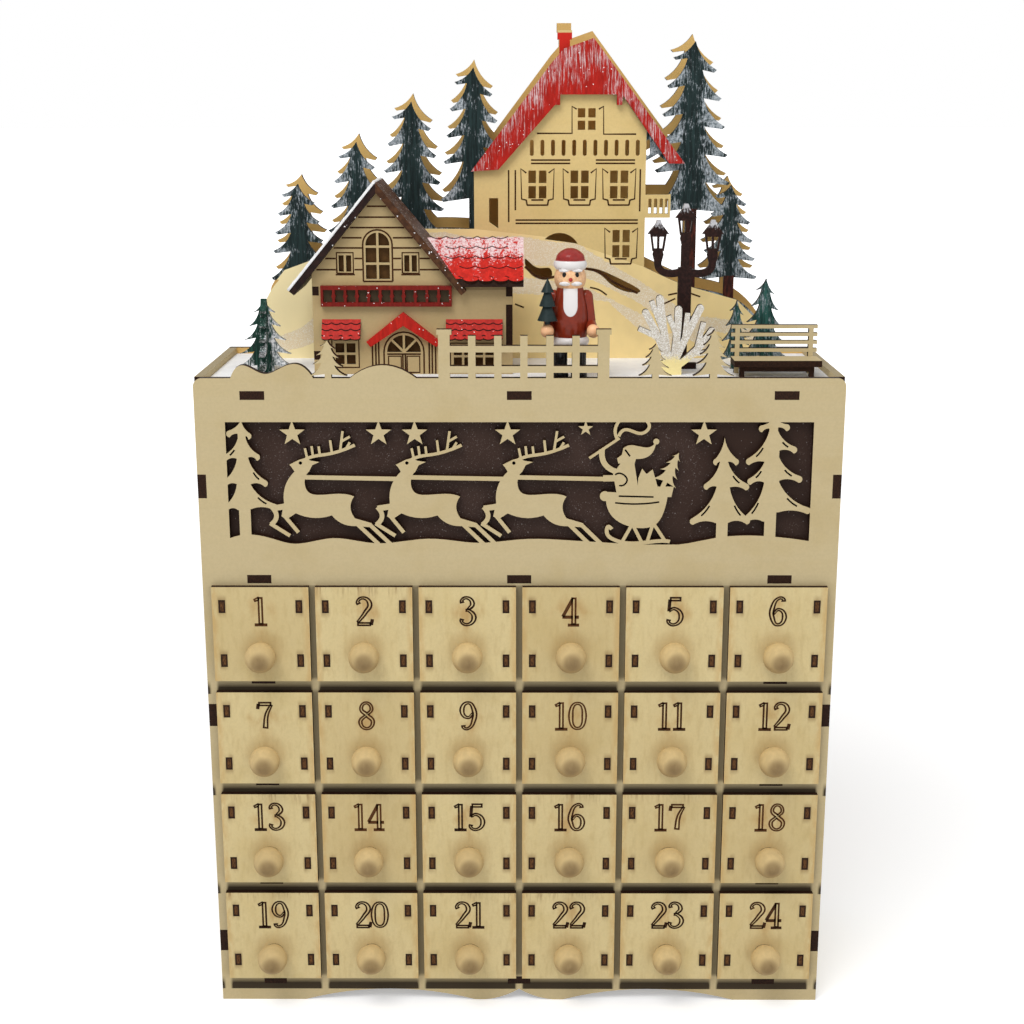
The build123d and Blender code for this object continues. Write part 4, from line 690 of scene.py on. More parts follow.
def turned_knob(paint, place, own):
    """Turned wood of a knob with painted shade on its lower half, and end grain in the middle."""
    across, up = place
    turning = paint.noise(0.4, (1, 1, 0.5), 4.0)
    turned = paint.tones(turning, colours().knob, 0.92, 1.06)
    turned = paint.mix((own * 7.3 % 1) * 0.4, turned, shade(colours().knob, 0.74))
    # Painted shade: the knob darkens towards its lower half.
    below = KNOB_UP - up + 1.0
    turned = paint.mix(below.rise(-1.0, 7.0) * 0.55, turned, tint(128, 99, 62))
    off_centre = (across - 0.4) * (across - 0.4) + (below - 1.3) * (below - 1.3)
    end_grain = (1 - (off_centre / 30).rise(0.02, 1.0)) * (0.5 + turning * 0.6)
    return paint.mix(end_grain.least(1) * 0.85, turned, tint(112, 88, 58))


def drawer_finish():
    """Drawer wood with tenon ends and burnt edges, and turned knobs."""
    paint = Paint("drawer_plywood")
    place = across, up = bank_place(paint)
    own = drawer_own(paint)
    wood, fibre = drawer_wood(paint, across, own)
    smoke = paint.noise(0.13, (1, 1, 0.5), 4.0, 0.6)
    face = tenon_ends(paint, scorched(paint, wood, place, own, smoke), place, smoke)
    colour = paint.mix(paint.y < DRAWER_FACE + 0.5, wood, face)
    rim = (paint.facing[2] > 0.6) * (up > RIM_UP)
    edge = paint.edges(1) * (paint.y < FRONT - 0.2)
    colour = burnt(paint, colour, rim.most(edge))
    colour = paint.mix(paint.y < DRAWER_FACE - 0.3, colour, turned_knob(paint, place, own))
    return sanded(paint, colour, fibre, 0.48)


class CALENDAR_OT_drawers(bpy.types.Operator):
    """Drawers with turned knobs and outlined numbers."""

    bl_idname = "calendar.drawers"
    bl_label = "Drawers"

    def execute(self, context):
        wood = drawer_finish()
        burn = digit_line()
        for number in range(1, ROWS * COLUMNS + 1):
            body = f"drawer_{number:02d}"
            dress(wood, body)
            low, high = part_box(body)
            top = TOP_SHELF + FRONT_TOP - ROW_PITCH * ((number - 1) // COLUMNS)
            place = standing((low.x + high.x) / 2 / MM, DRAWER_FACE - FRONT, top - sizes().digit_drop)
            outline = number_shape(str(number), 0)
            thicken(outline, BURN_PROUD)
            piece(f"number_{number:02d}", outline, place, burn, body)
            heart = number_shape(str(number), sizes().digit_line)
            thicken(heart, BURN_PROUD * 2)
            piece(f"number_{number:02d}_heart", heart, place, wood, body)
        return {"FINISHED"}


class CALENDAR_OT_light_box(bpy.types.Operator):
    """Dark film behind the window, the lamp strip and the battery box."""

    bl_idname = "calendar.light_box"
    bl_label = "Light Box"

    def execute(self, context):
        paint = Paint("window_film", 0.5)
        weave = paint.node("ShaderNodeTexVoronoi", None, {"Vector": paint.place, "Scale": 1.3})
        dots = Field(paint, weave.outputs["Distance"])
        cloud = paint.noise(0.02, detail=2.0)
        colour = paint.mix(cloud.rise(0.35, 0.7), colours().film, tint(62, 46, 40))
        glint = paint.noise(0.8, detail=2.0).rise(0.4, 0.7) * cloud.rise(0.38, 0.58)
        colour = paint.mix((1 - dots.rise(0.08, 0.4)) * glint * 0.7, colour, tint(136, 124, 118))
        colour = paint.mix(paint.grains(2.4, 0.005) * 0.5, colour, tint(150, 142, 138))
        dress(paint.finish(colour, dots, 0.08, 0.5), "window_film")
        moulded = plain("moulded_plastic", tint(30, 30, 31), 0.55, grain=2.4)
        dress(moulded, "battery_box", "battery_lid", "power_switch")
        dress(plain("cell_jacket", tint(60, 62, 70), 0.35, 0.4), "batteries")
        steel = Paint("spring_steel", 0.3)
        steel.shader.inputs["Metallic"].default_value = 1.0
        brushed = steel.noise(1.2, (0.1, 1, 1), 3.0)
        metal = steel.mix(brushed, tint(170, 170, 168), tint(206, 206, 204))
        dress(steel.finish(metal, brushed, 0.02, 0.3), "battery_contacts")
        dress(plain("lamp_strip", tint(236, 234, 226), 0.45), "led_strip")
        return {"FINISHED"}


# Lines drawn on the backdrop: x, and the height above the snow there
HILL_LINE = [(-127, 33), (-117.5, 44.4), (-85, 56), (-47.9, 64.8), (-22.5, 64.7), (20, 60), (62, 46),
             (85.1, 36.2), (109.1, 29.5), (122, 17), (128, 0)]
ROOF_LINE = [(-24, 0), (-23.8, 92.7), (15.4, 144), (21.6, 150.8), (35.9, 155.7), (81.1, 96.5),
             (81.3, 0)]
UPPER_BAND = [(-128, 0), (-60, 58), (-46.6, 62.8), (-37.1, 63.2), (-23.8, 60.5), (0.6, 61.2),
              (13.1, 58.7), (29, 57.5), (44.2, 48), (60.8, 38.6), (80, 26), (100, 0)]
UPPER_FOOT = [(-128, 0), (-60, 50), (-46, 52), (-20, 50), (2, 47), (20, 46), (40, 38), (60, 28),
              (80, 14), (100, 0)]
LOWER_BAND = [(-128, 8), (-90, 24), (-60, 28), (-20, 40), (-2.6, 41.3), (13.9, 39.5), (35.4, 35),
              (61, 22.4), (76, 12), (92, 21), (112, 19), (128, 4)]
LOWER_FOOT = [(-128, 0), (-90, 12), (-60, 16), (-20, 28), (-2.2, 32.8), (22, 31.4), (44.4, 28.7),
              (61, 14), (76, 4), (92, 14), (112, 12), (128, 0)]
HOUSE_LEFT, HOUSE_RIGHT = -22.4, 62.3
BALCONY_LEFT, BALCONY_RIGHT = 62.0, 74.8
BALCONY_LOW, BALCONY_HIGH = 70.0, 81.6
CHIMNEY_LEFT, CHIMNEY_RIGHT = 18.0, 26.0
CHIMNEY_FOOT, CHIMNEY_COPING = 146.0, 158.0
SCENE_FIRS = (-109.7, -80.3, -52.9, -22.4, 85.3, 104.8)
RIGHT_PAIR, BETWEEN_PAIR = 80.0, 95.0
TALL_TRUNK_TOP, SMALL_TRUNK_TOP = 74.5, 41.5
TRUNK_HALF = 2.7


def fir_finish(paint, away, snowiness, tone=None, white=0.78, reach=11.0, light=tint(206, 213, 219)):
    """Dark fir paint with snow brushed outwards along the boughs, thicker away from the trunk."""
    strand = paint.noise(0.9, (1, 1, 0.07), 4.0, 0.7)
    colour = paint.tones(strand, tone or colours().fir, 0.45, 1.5, 0.35, 0.68)
    drift = paint.noise(0.14, detail=3.0).rise(0.34, 0.66) * 0.34
    snow = spread_snow(paint, away.rise(1.2, reach) * 0.40 + drift + snowiness, 0.2, 1.5)
    frost = paint.mix(paint.noise(1.1, detail=4.0).rise(0.3, 0.7), tint(112, 124, 130), light)
    return paint.mix(snow * white, colour, frost)


def hill_finish(paint, up):
    """Ochre hill, paler on the left, with two ragged bands of glitter."""
    hill = paint.tones(paint.noise(0.06, detail=3.0), colours().hill, 1.0, 0.88)
    hill = paint.mix((1 - paint.x.rise(-110, -70)) * 0.6, hill, tint(255, 244, 200))
    ragged = up + (paint.noise(0.5, detail=4.0) - 0.5) * 2.5
    upper, lower = ((ragged < paint.height_line(top)) * (ragged > paint.height_line(foot))
                    for top, foot in ((UPPER_BAND, UPPER_FOOT), (LOWER_BAND, LOWER_FOOT)))
    glitter = paint.mix(paint.grains(3.4, 0.25) * 0.6, tint(232, 214, 182), tint(255, 254, 250))
    return paint.mix(upper.most(lower) * 0.85, hill, glitter)


def fir_row_finish(paint, up, clear):
    """Firs of the backdrop, whitest on the left, the right pair on bare trunks."""
    away = abs(paint.x - SCENE_FIRS[0])
    for trunk in SCENE_FIRS[1:]:
        away = away.least(abs(paint.x - trunk))
    whiter_left = (1 - paint.x.rise(-112, -36)) * clear.rise(6, 40) * 0.34
    whiter_right = paint.x.rise(BETWEEN_PAIR - 2, BETWEEN_PAIR + 2) * 0.2
    frost = clear.rise(4, 62) * 0.14 + whiter_left - 0.06 + whiter_right
    needles = fir_finish(paint, away, frost, white=0.84, reach=8.0)
    bark = paint.noise(0.8, (1, 1, 0.2)).rise(0.4, 0.7)
    brown = paint.mix(bark, shade(colours().trunk, 0.8), tint(92, 44, 34))
    tall = (paint.x < BETWEEN_PAIR) * (up < TALL_TRUNK_TOP)
    small = (paint.x > BETWEEN_PAIR) * (up < SMALL_TRUNK_TOP)
    bare = (paint.x > RIGHT_PAIR) * (away < TRUNK_HALF) * tall.most(small)
    return paint.mix(bare, needles, brown)


def backdrop_finish():
    """Painted plate behind the village: hill with glitter bands, tall house and snowy firs."""
    paint = Paint("painted_backdrop", 0.7)
    up = paint.z - SNOW
    clear = up - paint.height_line(HILL_LINE)
    roof = paint.height_line(ROOF_LINE)
    wood, fibre = wood_face(paint, colours().scenery, "x")
    house = paint.x.between(HOUSE_LEFT, HOUSE_RIGHT) * (up < roof)
    balcony = paint.x.between(BALCONY_LEFT, BALCONY_RIGHT) * up.between(BALCONY_LOW, BALCONY_HIGH)
    built = house.most(balcony)
    colour = paint.mix((clear > 0) * built, hill_finish(paint, up), wood)
    colour = paint.mix((clear > 0) * (1 - built), colour, fir_row_finish(paint, up, clear))
    chimney = paint.x.between(CHIMNEY_LEFT, CHIMNEY_RIGHT) * (up > CHIMNEY_FOOT) * (up > roof)
    coping = up.rise(CHIMNEY_COPING, CHIMNEY_COPING + 0.6)
    colour = paint.mix(chimney, colour, paint.mix(coping, colours().red, colours().scenery))
    colour = burnt(paint, colour, paint.edges(1) * 0.85)
    return paint.finish(colour, fibre, 0.06, 0.4, rough=fibre * 0.2 + 0.55)


def snowy_red(name, tone, amount, streak, cut, scale=0.9, cover=0.3):
    """Red roof paint with brushed snow. amount and cut give a paint its snow and its burnt faces."""
    paint = Paint(name, 0.45)
    cloud = paint.noise(0.6, (1, 1, 0.2), 4.0)
    colour = paint.tones(cloud, tone, 0.78, 1.2)
    snow = spread_snow(paint, amount(paint), streak, scale)
    haze = paint.noise(2.0, (1, 1, 0.4), 4.0).rise(0.2, 0.7)
    colour = paint.mix(snow * (haze * 0.5 + cover), colour, tint(246, 236, 236))
    colour = paint.mix(paint.grains(2.4, 0.004) * 0.9, colour, (1, 1, 1))
    colour = burnt(paint, colour, cut(paint))
    return paint.finish(colour, cloud, 0.08, 0.4, rough=snow * 0.3 + 0.45)


HOUSE_WINDOWS = ((8.9, 86.3), (29.7, 86.3), (49.2, 86.3), (50.6, 57.4))


def shutter_strokes(x, z):
    """Shutters and sill engraved round a four-pane window."""
    strokes = []
    for side in (-1, 1):
        edge, inner = side * 8.2, side * 5.5
        strokes.append(line((x + inner, z + 5.6), (x + edge, z + 7.6), (x + edge * 0.95, z - 7.0),
                            (x + inner, z - 7.6)))
        strokes.append(line((x + inner, z - 7.4), (x + inner * 0.92, z - 10.0)))
    strokes.append(line((x - 5.2, z - 10.0), (x + 5.2, z - 10.0)))
    strokes.append(line((x - 3.0, z - 7.5), (x + 3.0, z - 7.5)))
    return strokes


def house_strokes():
    """Lines of the tall house, the marks in the hill's snow and two strokes of painted shadow along the
    upper glitter band.
    """
    strokes = [
        line((8.6, 110.9), (25.8, 110.9), (25.7, 123.7), (28.0, 122.4)),
        line((57.2, 110.5), (41.3, 110.5), (41.1, 123.7), (38.8, 122.4)),
        line((-5.3, 68.0), (-5.3, 93.3)), line((-2.0, 73.8), (-2.0, 93.3)),
        line((59.6, 73.2), (59.6, 93.7)),
    ]
    for left, right, height in ((5.7, 25, 98.1), (37.6, 56.9, 98.1), (-1.9, 58.8, 69.0)):
        strokes.append(line((left, height), (right, height)))
        strokes.append(line((left, height - 1.6), (right, height - 1.6)))
    for x, z in HOUSE_WINDOWS:
        strokes += shutter_strokes(x, z)
    strokes += [
        curve_line((35.4, 35.7), (39.9, 34.5), (43.9, 31.9)), curve_line((-2.2, 27.4), (2.3, 25.6)),
        curve_line((74.7, 31.9), (79.1, 32.8)), curve_line((85, 33), (90.8, 31)),
        curve_line((72.5, 27.4), (78.3, 30.1)),
        # Painted shadow: two wide dark strokes along the lower edge of the upper glitter band.
        curve_line((2.8, 46.1), (8.5, 41.4), (14.3, 40.4), (22.0, 42.6), width=1.2),
        curve_line((32.4, 45.2), (40.1, 43.3), (47.8, 38.0), (59.4, 32.8), width=1.2),
    ]
    return strokes


def tall_roof_snow(paint):
    """Snow along the outer edges of the tall roof, thinner towards its low ends."""
    below = paint.height_line(ROOF_LINE) + SNOW - paint.z
    drift = (paint.noise(0.07) - 0.5) * 0.7
    high = (paint.z - SNOW).rise(92, 128) * 0.55 + 0.45
    return (1 - below.rise(0, 34)) * high * 0.46 + drift + 0.1


class CALENDAR_OT_backdrop(bpy.types.Operator):
    """Hill, tall house and firs, with the tall house's red roof, engraved lines and two strokes of
    painted shadow.
    """

    bl_idname = "calendar.backdrop"
    bl_label = "Backdrop"

    def execute(self, context):
        dress(backdrop_finish(), "scene_panel")
        dress(snowy_red("tall_roof_paint", shade(colours().red, 0.72), tall_roof_snow, 0.07,
                        lambda paint: paint.edges(1), 1.7, 0.2), "tall_house_roof")
        engrave("house_engraving_and_shadow", house_strokes(), standing(0, SCENE_DEPTH, SNOW))
        return {"FINISHED"}


ROOF_RUN = 41.5
ROOF_DROP = 50.0
RIDGE_HEIGHT = 89.9
GABLE_TOP = 85.05
GABLE_SLOPE = ROOF_DROP / ROOF_RUN
CRUST = 1.3
CRUST_INSET = 0.2
CRUST_LUMPS = ((0.45, 0.35), (0.2, 0.9))
BALCONY_DARK_BAND = (-26.0, 33.6, 33.4, 41.4)
BACK_WALL_DEPTH = 59.9
SIDING = (78.8, 73.8, 69.0, 64.3, 59.6, 54.7, 49.5)
ARCH_HALF, ARCH_TOP = 7.3, 66.0
SMALL_LEFT, SMALL_RIGHT = 11.0, 19.7
SMALL_LOW, SMALL_HIGH = 47.0, 58.0
PORCH_X = 11.6
PORCH_UNDER = 23.4
PORCH_FALL = 0.641
PORCH_REACH = 19.5
# Painted shade: brown cards behind the windows stand in for the chalet's dark inside; left, right, low
# and high edge of each
WINDOW_SHADE_CARDS = (
    (-6.6, 6.6, 44.4, 68.4), (-19.5, -11.3, 47.9, 57.3), (11.3, 19.5, 47.9, 57.3),
    (-22.4, -10.0, 3.4, 16.2), (33.8, 55.6, 2.6, 14.6), (PORCH_X - 8.8, PORCH_X + 8.8, 9.8, 19.6),
)
CARD = 0.5


def siding_strokes():
    """Horizontal siding lines of the gable, broken at the windows."""
    strokes = []
    for height in SIDING:
        reach = (GABLE_TOP - height) / GABLE_SLOPE - 0.6
        start = ARCH_HALF if height < ARCH_TOP else 0.0
        for side in (-1, 1):
            inner = start
            if SMALL_LOW < height < SMALL_HIGH:
                strokes.append(line((side * inner, height), (side * SMALL_LEFT, height)))
                inner = SMALL_RIGHT
            if reach > inner + 0.5:
                strokes.append(line((side * inner, height), (side * reach, height)))
    return strokes


def arch(middle, spring, radius, low, turns=12):
    """Points of an arched frame, from its left foot over the top to its right foot."""
    points = [(middle - radius, low)]
    for turn in range(turns + 1):
        angle = math.pi * (1 - turn / turns)
        points.append((middle + radius * math.cos(angle), spring + radius * math.sin(angle)))
    points.append((middle + radius, low))
    return points


def chalet_strokes():
    """Engraved window frames, door panels and pilasters of the chalet front."""
    strokes = siding_strokes()
    strokes.append(line(*arch(0, 61.1, 6.9, 44.0)))
    strokes.append(line((-6.9, 44.0), (6.9, 44.0)))
    for side in (-1, 1):
        left, right = sorted((side * 11.5, side * 19.3))
        strokes.append(frame_line(left, right, 47.8, 57.4))
        strokes.append(line((left - 0.6, 47.2), (right + 0.6, 47.2)))
    strokes.append(frame_line(-22.6, -9.8, 3.2, 16.4))
    strokes.append(frame_line(33.6, 55.8, 2.4, 14.8))
    strokes.append(line((33.0, 1.8), (56.4, 1.8)))
    strokes.append(line(*arch(PORCH_X, 10.6, 9.5, 0.2)))
    strokes.append(line((PORCH_X - 8.0, 9.6), (PORCH_X + 8.0, 9.6)))
    strokes.append(line((PORCH_X - 0.6, 0.2), (PORCH_X - 0.6, 9.4)))
    strokes.append(line((PORCH_X + 0.6, 0.2), (PORCH_X + 0.6, 9.4)))
    for side in (-1, 1):
        left, right = sorted((PORCH_X + side * 1.4, PORCH_X + side * 7.4))
        strokes.append(frame_line(left, right, 0.8, 8.6))
        for offset in (12.0, 13.4, 15.0):
            high = PORCH_UNDER - PORCH_FALL * offset - 0.1
            strokes.append(line((PORCH_X + side * offset, 0.2), (PORCH_X + side * offset, high)))
    return strokes


def shingle_line():
    """Material of the black lines round the shingles."""
    found = bpy.data.materials.get("shingle_line")
    return found or plain("shingle_line", tint(34, 18, 16), 0.8)


def scallop_row(left, right, height, width, dip, shift):
    """One row of scalloped shingle edges as a wavy stroke."""
    points = []
    spot = left + shift * width
    while spot + width <= right + 0.01:
        for turn in range(5):
            part = turn / 4
            points.append((spot + part * width, height - dip * math.sin(math.pi * part)))
        spot += width
    return line(*points, width=0.55) if len(points) > 1 else None


WING_SLOPE = math.atan(0.8)
WING_EAVE_DEPTH = 24.8
WING_EAVE_TOP = 45.78
WING_LENGTH = 27.8
WING_RIGHT = 2.0
WING_PLY = 3.0
AWNING_SPANS = ((-26.9, -8.6), (31.7, 58.5))
AWNING_SLOPE = math.atan2(8.0, 5.5)
AWNING_LENGTH = 9.71
AWNING_LOW = 18.2
AWNING_OUT = 5.5
AWNING_PLY = 1.2
AWNING_SHINGLE = 4.4
SHINGLE_DIP = 1.7
TAB_PROUD = 0.06


def shingle_tabs(left, right, width, dip, ply):
    """Round ends of the lowest shingles, hanging below an eave."""
    shape = bmesh.new()
    count = round((right - left) / width)
    step = (right - left) / count
    size = Matrix.Diagonal((step / 2, dip, 1, 1))
    for spot in range(count):
        place = Matrix.Translation((left + (spot + 0.5) * step, 0, -ply))
        bmesh.ops.create_circle(shape, cap_ends=True, segments=20, radius=1.0, matrix=place @ size)
    pull(shape, ply + TAB_PROUD)
    return shape


class CALENDAR_OT_chalet(bpy.types.Operator):
    """Chalet: engraved front, red shingled roofs, balcony and snowy brown roof boards."""

    bl_idname = "calendar.chalet"
    bl_label = "Chalet"

    def execute(self, context):
        self.walls()
        self.roof_boards()
        self.crust()
        wing, porch = self.red_roofs()
        self.cards()
        place = standing(CHALET_X, CHALET_DEPTH, SNOW)
        engrave("chalet_engraving", chalet_strokes(), place)
        self.wing_shingles(wing)
        self.awning_shingles(porch)
        return {"FINISHED"}

    def walls(self):
        """Front, darker behind the balcony and with painted shade under the roof's overhang, and side
        walls with burnt tenon ends.
        """
        paint = Paint("chalet_plywood")
        colour, fibre = wood_face(paint, colours().chalet, "x")
        up = paint.z - SNOW
        left, right, low, high = BALCONY_DARK_BAND
        stain = (paint.x - CHALET_X).between(left, right, 0.6) * up.between(low, high, 0.6)
        colour = paint.mix(stain * 0.85, colour, tint(50, 38, 32))
        # Painted shade under the roof's overhang: the gable darkens just below the roof line.
        eave_shade = 1 - ((RIDGE_HEIGHT - up) / GABLE_SLOPE - abs(paint.x - CHALET_X)).rise(0, 9)
        colour = paint.mix(eave_shade * (up > 40) * 0.4, colour, tint(120, 96, 62))
        colour = burnt(paint, colour, paint.edges(1))
        dress(sanded(paint, colour, fibre), "chalet_front")
        paint = Paint("chalet_wall_plywood")
        colour, fibre = wood_face(paint, colours().chalet, "z")
        rear = paint.y > FRONT + BACK_WALL_DEPTH
        cut = rear * paint.edges(1) + (1 - rear) * paint.edges(0)
        colour = burnt(paint, colour, cut)
        dress(paint.finish(colour, fibre, 0.06, 0.35), "chalet_side_walls")

    def roof_boards(self):
        """Stained roof boards, darker on the left, with snow on their upper faces."""
        paint = Paint("roof_board_stain", 0.55)
        grain = paint.noise(1.2, (0.4, 0.12, 0.4), 4.0)
        left = paint.x < CHALET_X
        pale = paint.mix(left, tint(92, 60, 38), tint(44, 27, 23))
        dark = paint.mix(left, tint(62, 39, 25), tint(26, 16, 15))
        colour = paint.mix(grain.rise(0.35, 0.7), dark, pale)
        upper = paint.facing[2] > 0.3
        snow = upper * (paint.noise(0.7, detail=5.0) + left * 0.55).rise(0.58, 0.8)
        colour = paint.mix(snow, colour, colours().snow)
        colour = paint.mix(paint.grains(2.2, 0.008), colour, (1, 1, 1))
        dress(paint.finish(colour, grain, 0.1, 0.4, rough=snow * 0.25 + 0.5), "chalet_roof_boards")

    def crust(self):
        """Crust of snow on the left slope of the main roof."""
        low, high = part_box("chalet_roof_boards")
        shape = bmesh.new()
        bmesh.ops.create_grid(shape, x_segments=44, y_segments=22, size=0.5)
        size = (math.hypot(ROOF_RUN, ROOF_DROP), (high.y - low.y) / MM - 2 * CRUST_INSET, 1)
        bmesh.ops.scale(shape, vec=size, verts=shape.verts)
        for spot in pull(shape, CRUST):
            spot.co.z += sum(height * noise.noise(spot.co * pitch) for height, pitch in CRUST_LUMPS)
        depth = (low.y + high.y) / 2 / MM
        middle = (CHALET_X - ROOF_RUN / 2, depth, SNOW + RIDGE_HEIGHT - ROOF_DROP / 2)
        lean = Matrix.Rotation(-math.atan2(ROOF_DROP, ROOF_RUN), 4, "Y")
        seat = Matrix.Translation((0, 0, -0.1))
        place = Matrix.Scale(MM, 4) @ Matrix.Translation(middle) @ lean @ seat
        paint = Paint("snow_crust", 0.6)
        grain = paint.noise(0.9, detail=5.0)
        colour = paint.mix(grain.rise(0.3, 0.7), shade(colours().snow, 0.92), (1, 1, 1))
        white = paint.finish(colour, grain, 0.2, 0.5)
        piece("roof_snow_crust", shape, place, white, "case", True)

    def red_roofs(self):
        """Red paint of the wing roof, the porch, the awnings and the balcony."""
        def wing_snow(paint):
            up = (paint.z - SNOW).rise(47, 60)
            run = paint.noise(0.2, (1, 0.12, 0.12)) - 0.5
            return up * 0.72 + run * 1.7

        def no_snow(paint):
            return (paint.z - SNOW).rise(60, 90)

        def under(paint):
            return paint.facing[2] < 0.3

        def awning_under(paint):
            return under(paint) * (abs(paint.x - CHALET_X - PORCH_X) > PORCH_REACH)

        def shadowed(paint):
            return paint.facing[2] < -0.3
        wing = snowy_red("wing_roof_paint", colours().red, wing_snow, 0.3, under, cover=0.42)
        porch = snowy_red("porch_paint", shade(colours().red, 0.86), no_snow, 1.0, awning_under)
        dress(wing, "chalet_wing_roof")
        dress(porch, "chalet_porch_roofs")
        dress(snowy_red("balcony_paint", colours().balcony, no_snow, 1.0, shadowed), "chalet_balcony")
        return wing, porch

    def cards(self):
        """Brown cards glued behind the windows, painted shade for the dark inside of the chalet."""
        shape = bmesh.new()
        for left, right, low, high in WINDOW_SHADE_CARDS:
            place = Matrix.Translation(((left + right) / 2, (low + high) / 2, 0))
            size = Matrix.Diagonal((right - left, high - low, 1, 1))
            bmesh.ops.create_grid(shape, x_segments=1, y_segments=1, size=0.5, matrix=place @ size)
        pull(shape, -CARD)
        place = standing(CHALET_X, CHALET_DEPTH + WING_PLY, SNOW)
        brown = plain("window_shade_card", colours().pane, 0.6)
        piece("window_shade_cards", shape, place, brown, "case")

    def wing_shingles(self, paint):
        """Scalloped shingle lines and round shingle ends on the wing roof."""
        rows = []
        width = sizes().shingle_width
        for row in range(int(WING_LENGTH / sizes().shingle_row) + 1):
            height = row * sizes().shingle_row + SHINGLE_DIP
            level = WING_EAVE_TOP + height * math.sin(WING_SLOPE)
            left = CHALET_X + (RIDGE_HEIGHT - level) / GABLE_SLOPE + 2.2
            rows.append(scallop_row(left, WING_RIGHT - 0.3, height, width, 1.6, 0.5 * (row % 2)))
        place = leaning(0, WING_EAVE_DEPTH, SNOW + WING_EAVE_TOP, WING_SLOPE)
        engrave("wing_shingles", [row for row in rows if row], place, shingle_line())
        left = CHALET_X + (RIDGE_HEIGHT - WING_EAVE_TOP) / GABLE_SLOPE + 3.6
        tabs = shingle_tabs(left, WING_RIGHT, width, SHINGLE_DIP, WING_PLY)
        piece("wing_shingle_ends", tabs, place, paint, "case")

    def awning_shingles(self, paint):
        """Scalloped shingle lines and round shingle ends on the two awnings."""
        rows = []
        for left, right in AWNING_SPANS:
            width = (right - left) / round((right - left) / AWNING_SHINGLE)
            for row in range(3):
                rows.append(scallop_row(left, right, 1.3 + row * AWNING_LENGTH / 3, width, 0.9, 0))
        place = leaning(CHALET_X, CHALET_DEPTH - AWNING_OUT, SNOW + AWNING_LOW, AWNING_SLOPE)
        engrave("awning_shingles", rows, place, shingle_line())
        for side, (left, right) in zip(("left", "right"), AWNING_SPANS):
            tabs = shingle_tabs(left, right, AWNING_SHINGLE, 1.0, AWNING_PLY)
            piece(f"{side}_awning_ends", tabs, place, paint, "case")


# Middle of each painted feature from the figure's foot, right of its middle, and its half lengths
EYE = ((2.9, -6.55, 49.0), (0.95, 0.5, 1.15))
NOSE = ((0.0, -7.3, 46.8), (0.95, 0.9, 0.95))
MOUSTACHE = ((2.6, -6.75, 45.0), (2.7, 0.75, 1.0))
BROW = ((3.0, -6.15, 50.9), (2.5, 0.7, 0.8))
HAND = (10.6, -8.3, 23.4)
HAND_REACH = 3.3
HEM_TOP = 20.1
BIB_HALF = 3.3
BIB_FOOT = 35.0
BRIM_TOP = 55.1


def egg(shape, feature, side):
    """Add a smooth egg to a shape, on one side of the figure's middle."""
    (across, ahead, up), halves = feature
    place = Matrix.Translation(FIGURE + Vector((side * across, ahead, up)))
    size = Matrix.Diagonal((*halves, 1))
    bmesh.ops.create_uvsphere(shape, u_segments=20, v_segments=12, radius=1.0, matrix=place @ size)


class CALENDAR_OT_figure(bpy.types.Operator):
    """Turned winter figure: gloss paint, white trim, dot eyes and a small nose."""

    bl_idname = "calendar.figure"
    bl_label = "Figure"

    def execute(self, context):
        self.coat()
        self.arms()
        self.head()
        dress(plain("leg_paint", colours().leg, 0.3, 0.5), "figure_legs")
        dress(plain("little_fir_paint", colours().fir, 0.45, 0.08), "figure_fir")
        return {"FINISHED"}

    def trimmed(self, name, tone, mask):
        """Gloss paint with white trim where the mask says."""
        paint = Paint(name, 0.35, 0.25)
        cloud = paint.noise(0.5, detail=3.0)
        colour = paint.tones(cloud, tone, 0.85, 1.12)
        colour = paint.mix(mask(paint), colour, tint(236, 232, 230))
        return paint.finish(colour, cloud, 0.05, 0.2)

    def coat(self):
        """Coat with a white hem and a rounded white bib."""
        def trim(paint):
            up = paint.z - SNOW
            hem = 1 - up.rise(HEM_TOP - 0.2, HEM_TOP + 0.2)
            bib = abs(paint.x - FIGURE.x) / BIB_HALF
            foot = (up - BIB_FOOT) / 5.0
            round_foot = (bib * bib + foot * foot.least(0)).rise(0.9, 1.05)
            front = paint.y < FIGURE.y
            return hem.most((1 - round_foot) * front * (up > 27))
        dress(self.trimmed("coat_paint", colours().coat, trim), "figure_coat")

    def arms(self):
        """Sleeves in coat paint with bare hands."""
        paint = Paint("sleeve_paint", 0.35, 0.25)
        cloud = paint.noise(0.5, detail=3.0)
        colour = paint.tones(cloud, colours().coat, 0.9, 1.2)
        for side in (-1, 1):
            hand = FIGURE + Vector((side * HAND[0], HAND[1], HAND[2]))
            colour = paint.mix(paint.near(*hand, HAND_REACH), colour, colours().skin)
        dress(paint.finish(colour, cloud, 0.05, 0.2), "figure_arms")

    def head(self):
        """Head and cap, with painted brows, a moustache, dot eyes and a small nose."""
        dress(plain("skin_paint", colours().skin, 0.4, 0.3), "figure_head")

        def brim(paint):
            return 1 - (paint.z - SNOW).rise(BRIM_TOP - 0.2, BRIM_TOP + 0.2)
        dress(self.trimmed("cap_paint", colours().cap, brim), "figure_cap")
        black = plain("eye_paint", tint(14, 12, 12), 0.35, 0.2)
        red = plain("nose_paint", tint(176, 30, 26), 0.3, 0.5)
        white = plain("whisker_paint", tint(238, 234, 232), 0.5)
        self.features("figure_eyes", black, "black_paint", (-1, 1), EYE)
        self.features("figure_nose", red, "cap_paint", (1,), NOSE)
        self.features("figure_whiskers", white, "cap_paint", (-1, 1), MOUSTACHE, BROW)

    def features(self, name, material, slot, sides, *eggs):
        """One painted piece of eggs on the given sides of the face."""
        shape = bmesh.new()
        for side in sides:
            for feature in eggs:
                egg(shape, feature, side)
        piece(name, shape, Matrix.Scale(MM, 4), material, "case", True)


LAMP_X = 79.3
LAMP_SPLIT = 6.5
BENCH_SEAT_LOW, BENCH_SEAT_HIGH = 5.15, 8.25
BENCH_SEAT_BACK = 33.01
BENCH_LEG_BACK = 30.0


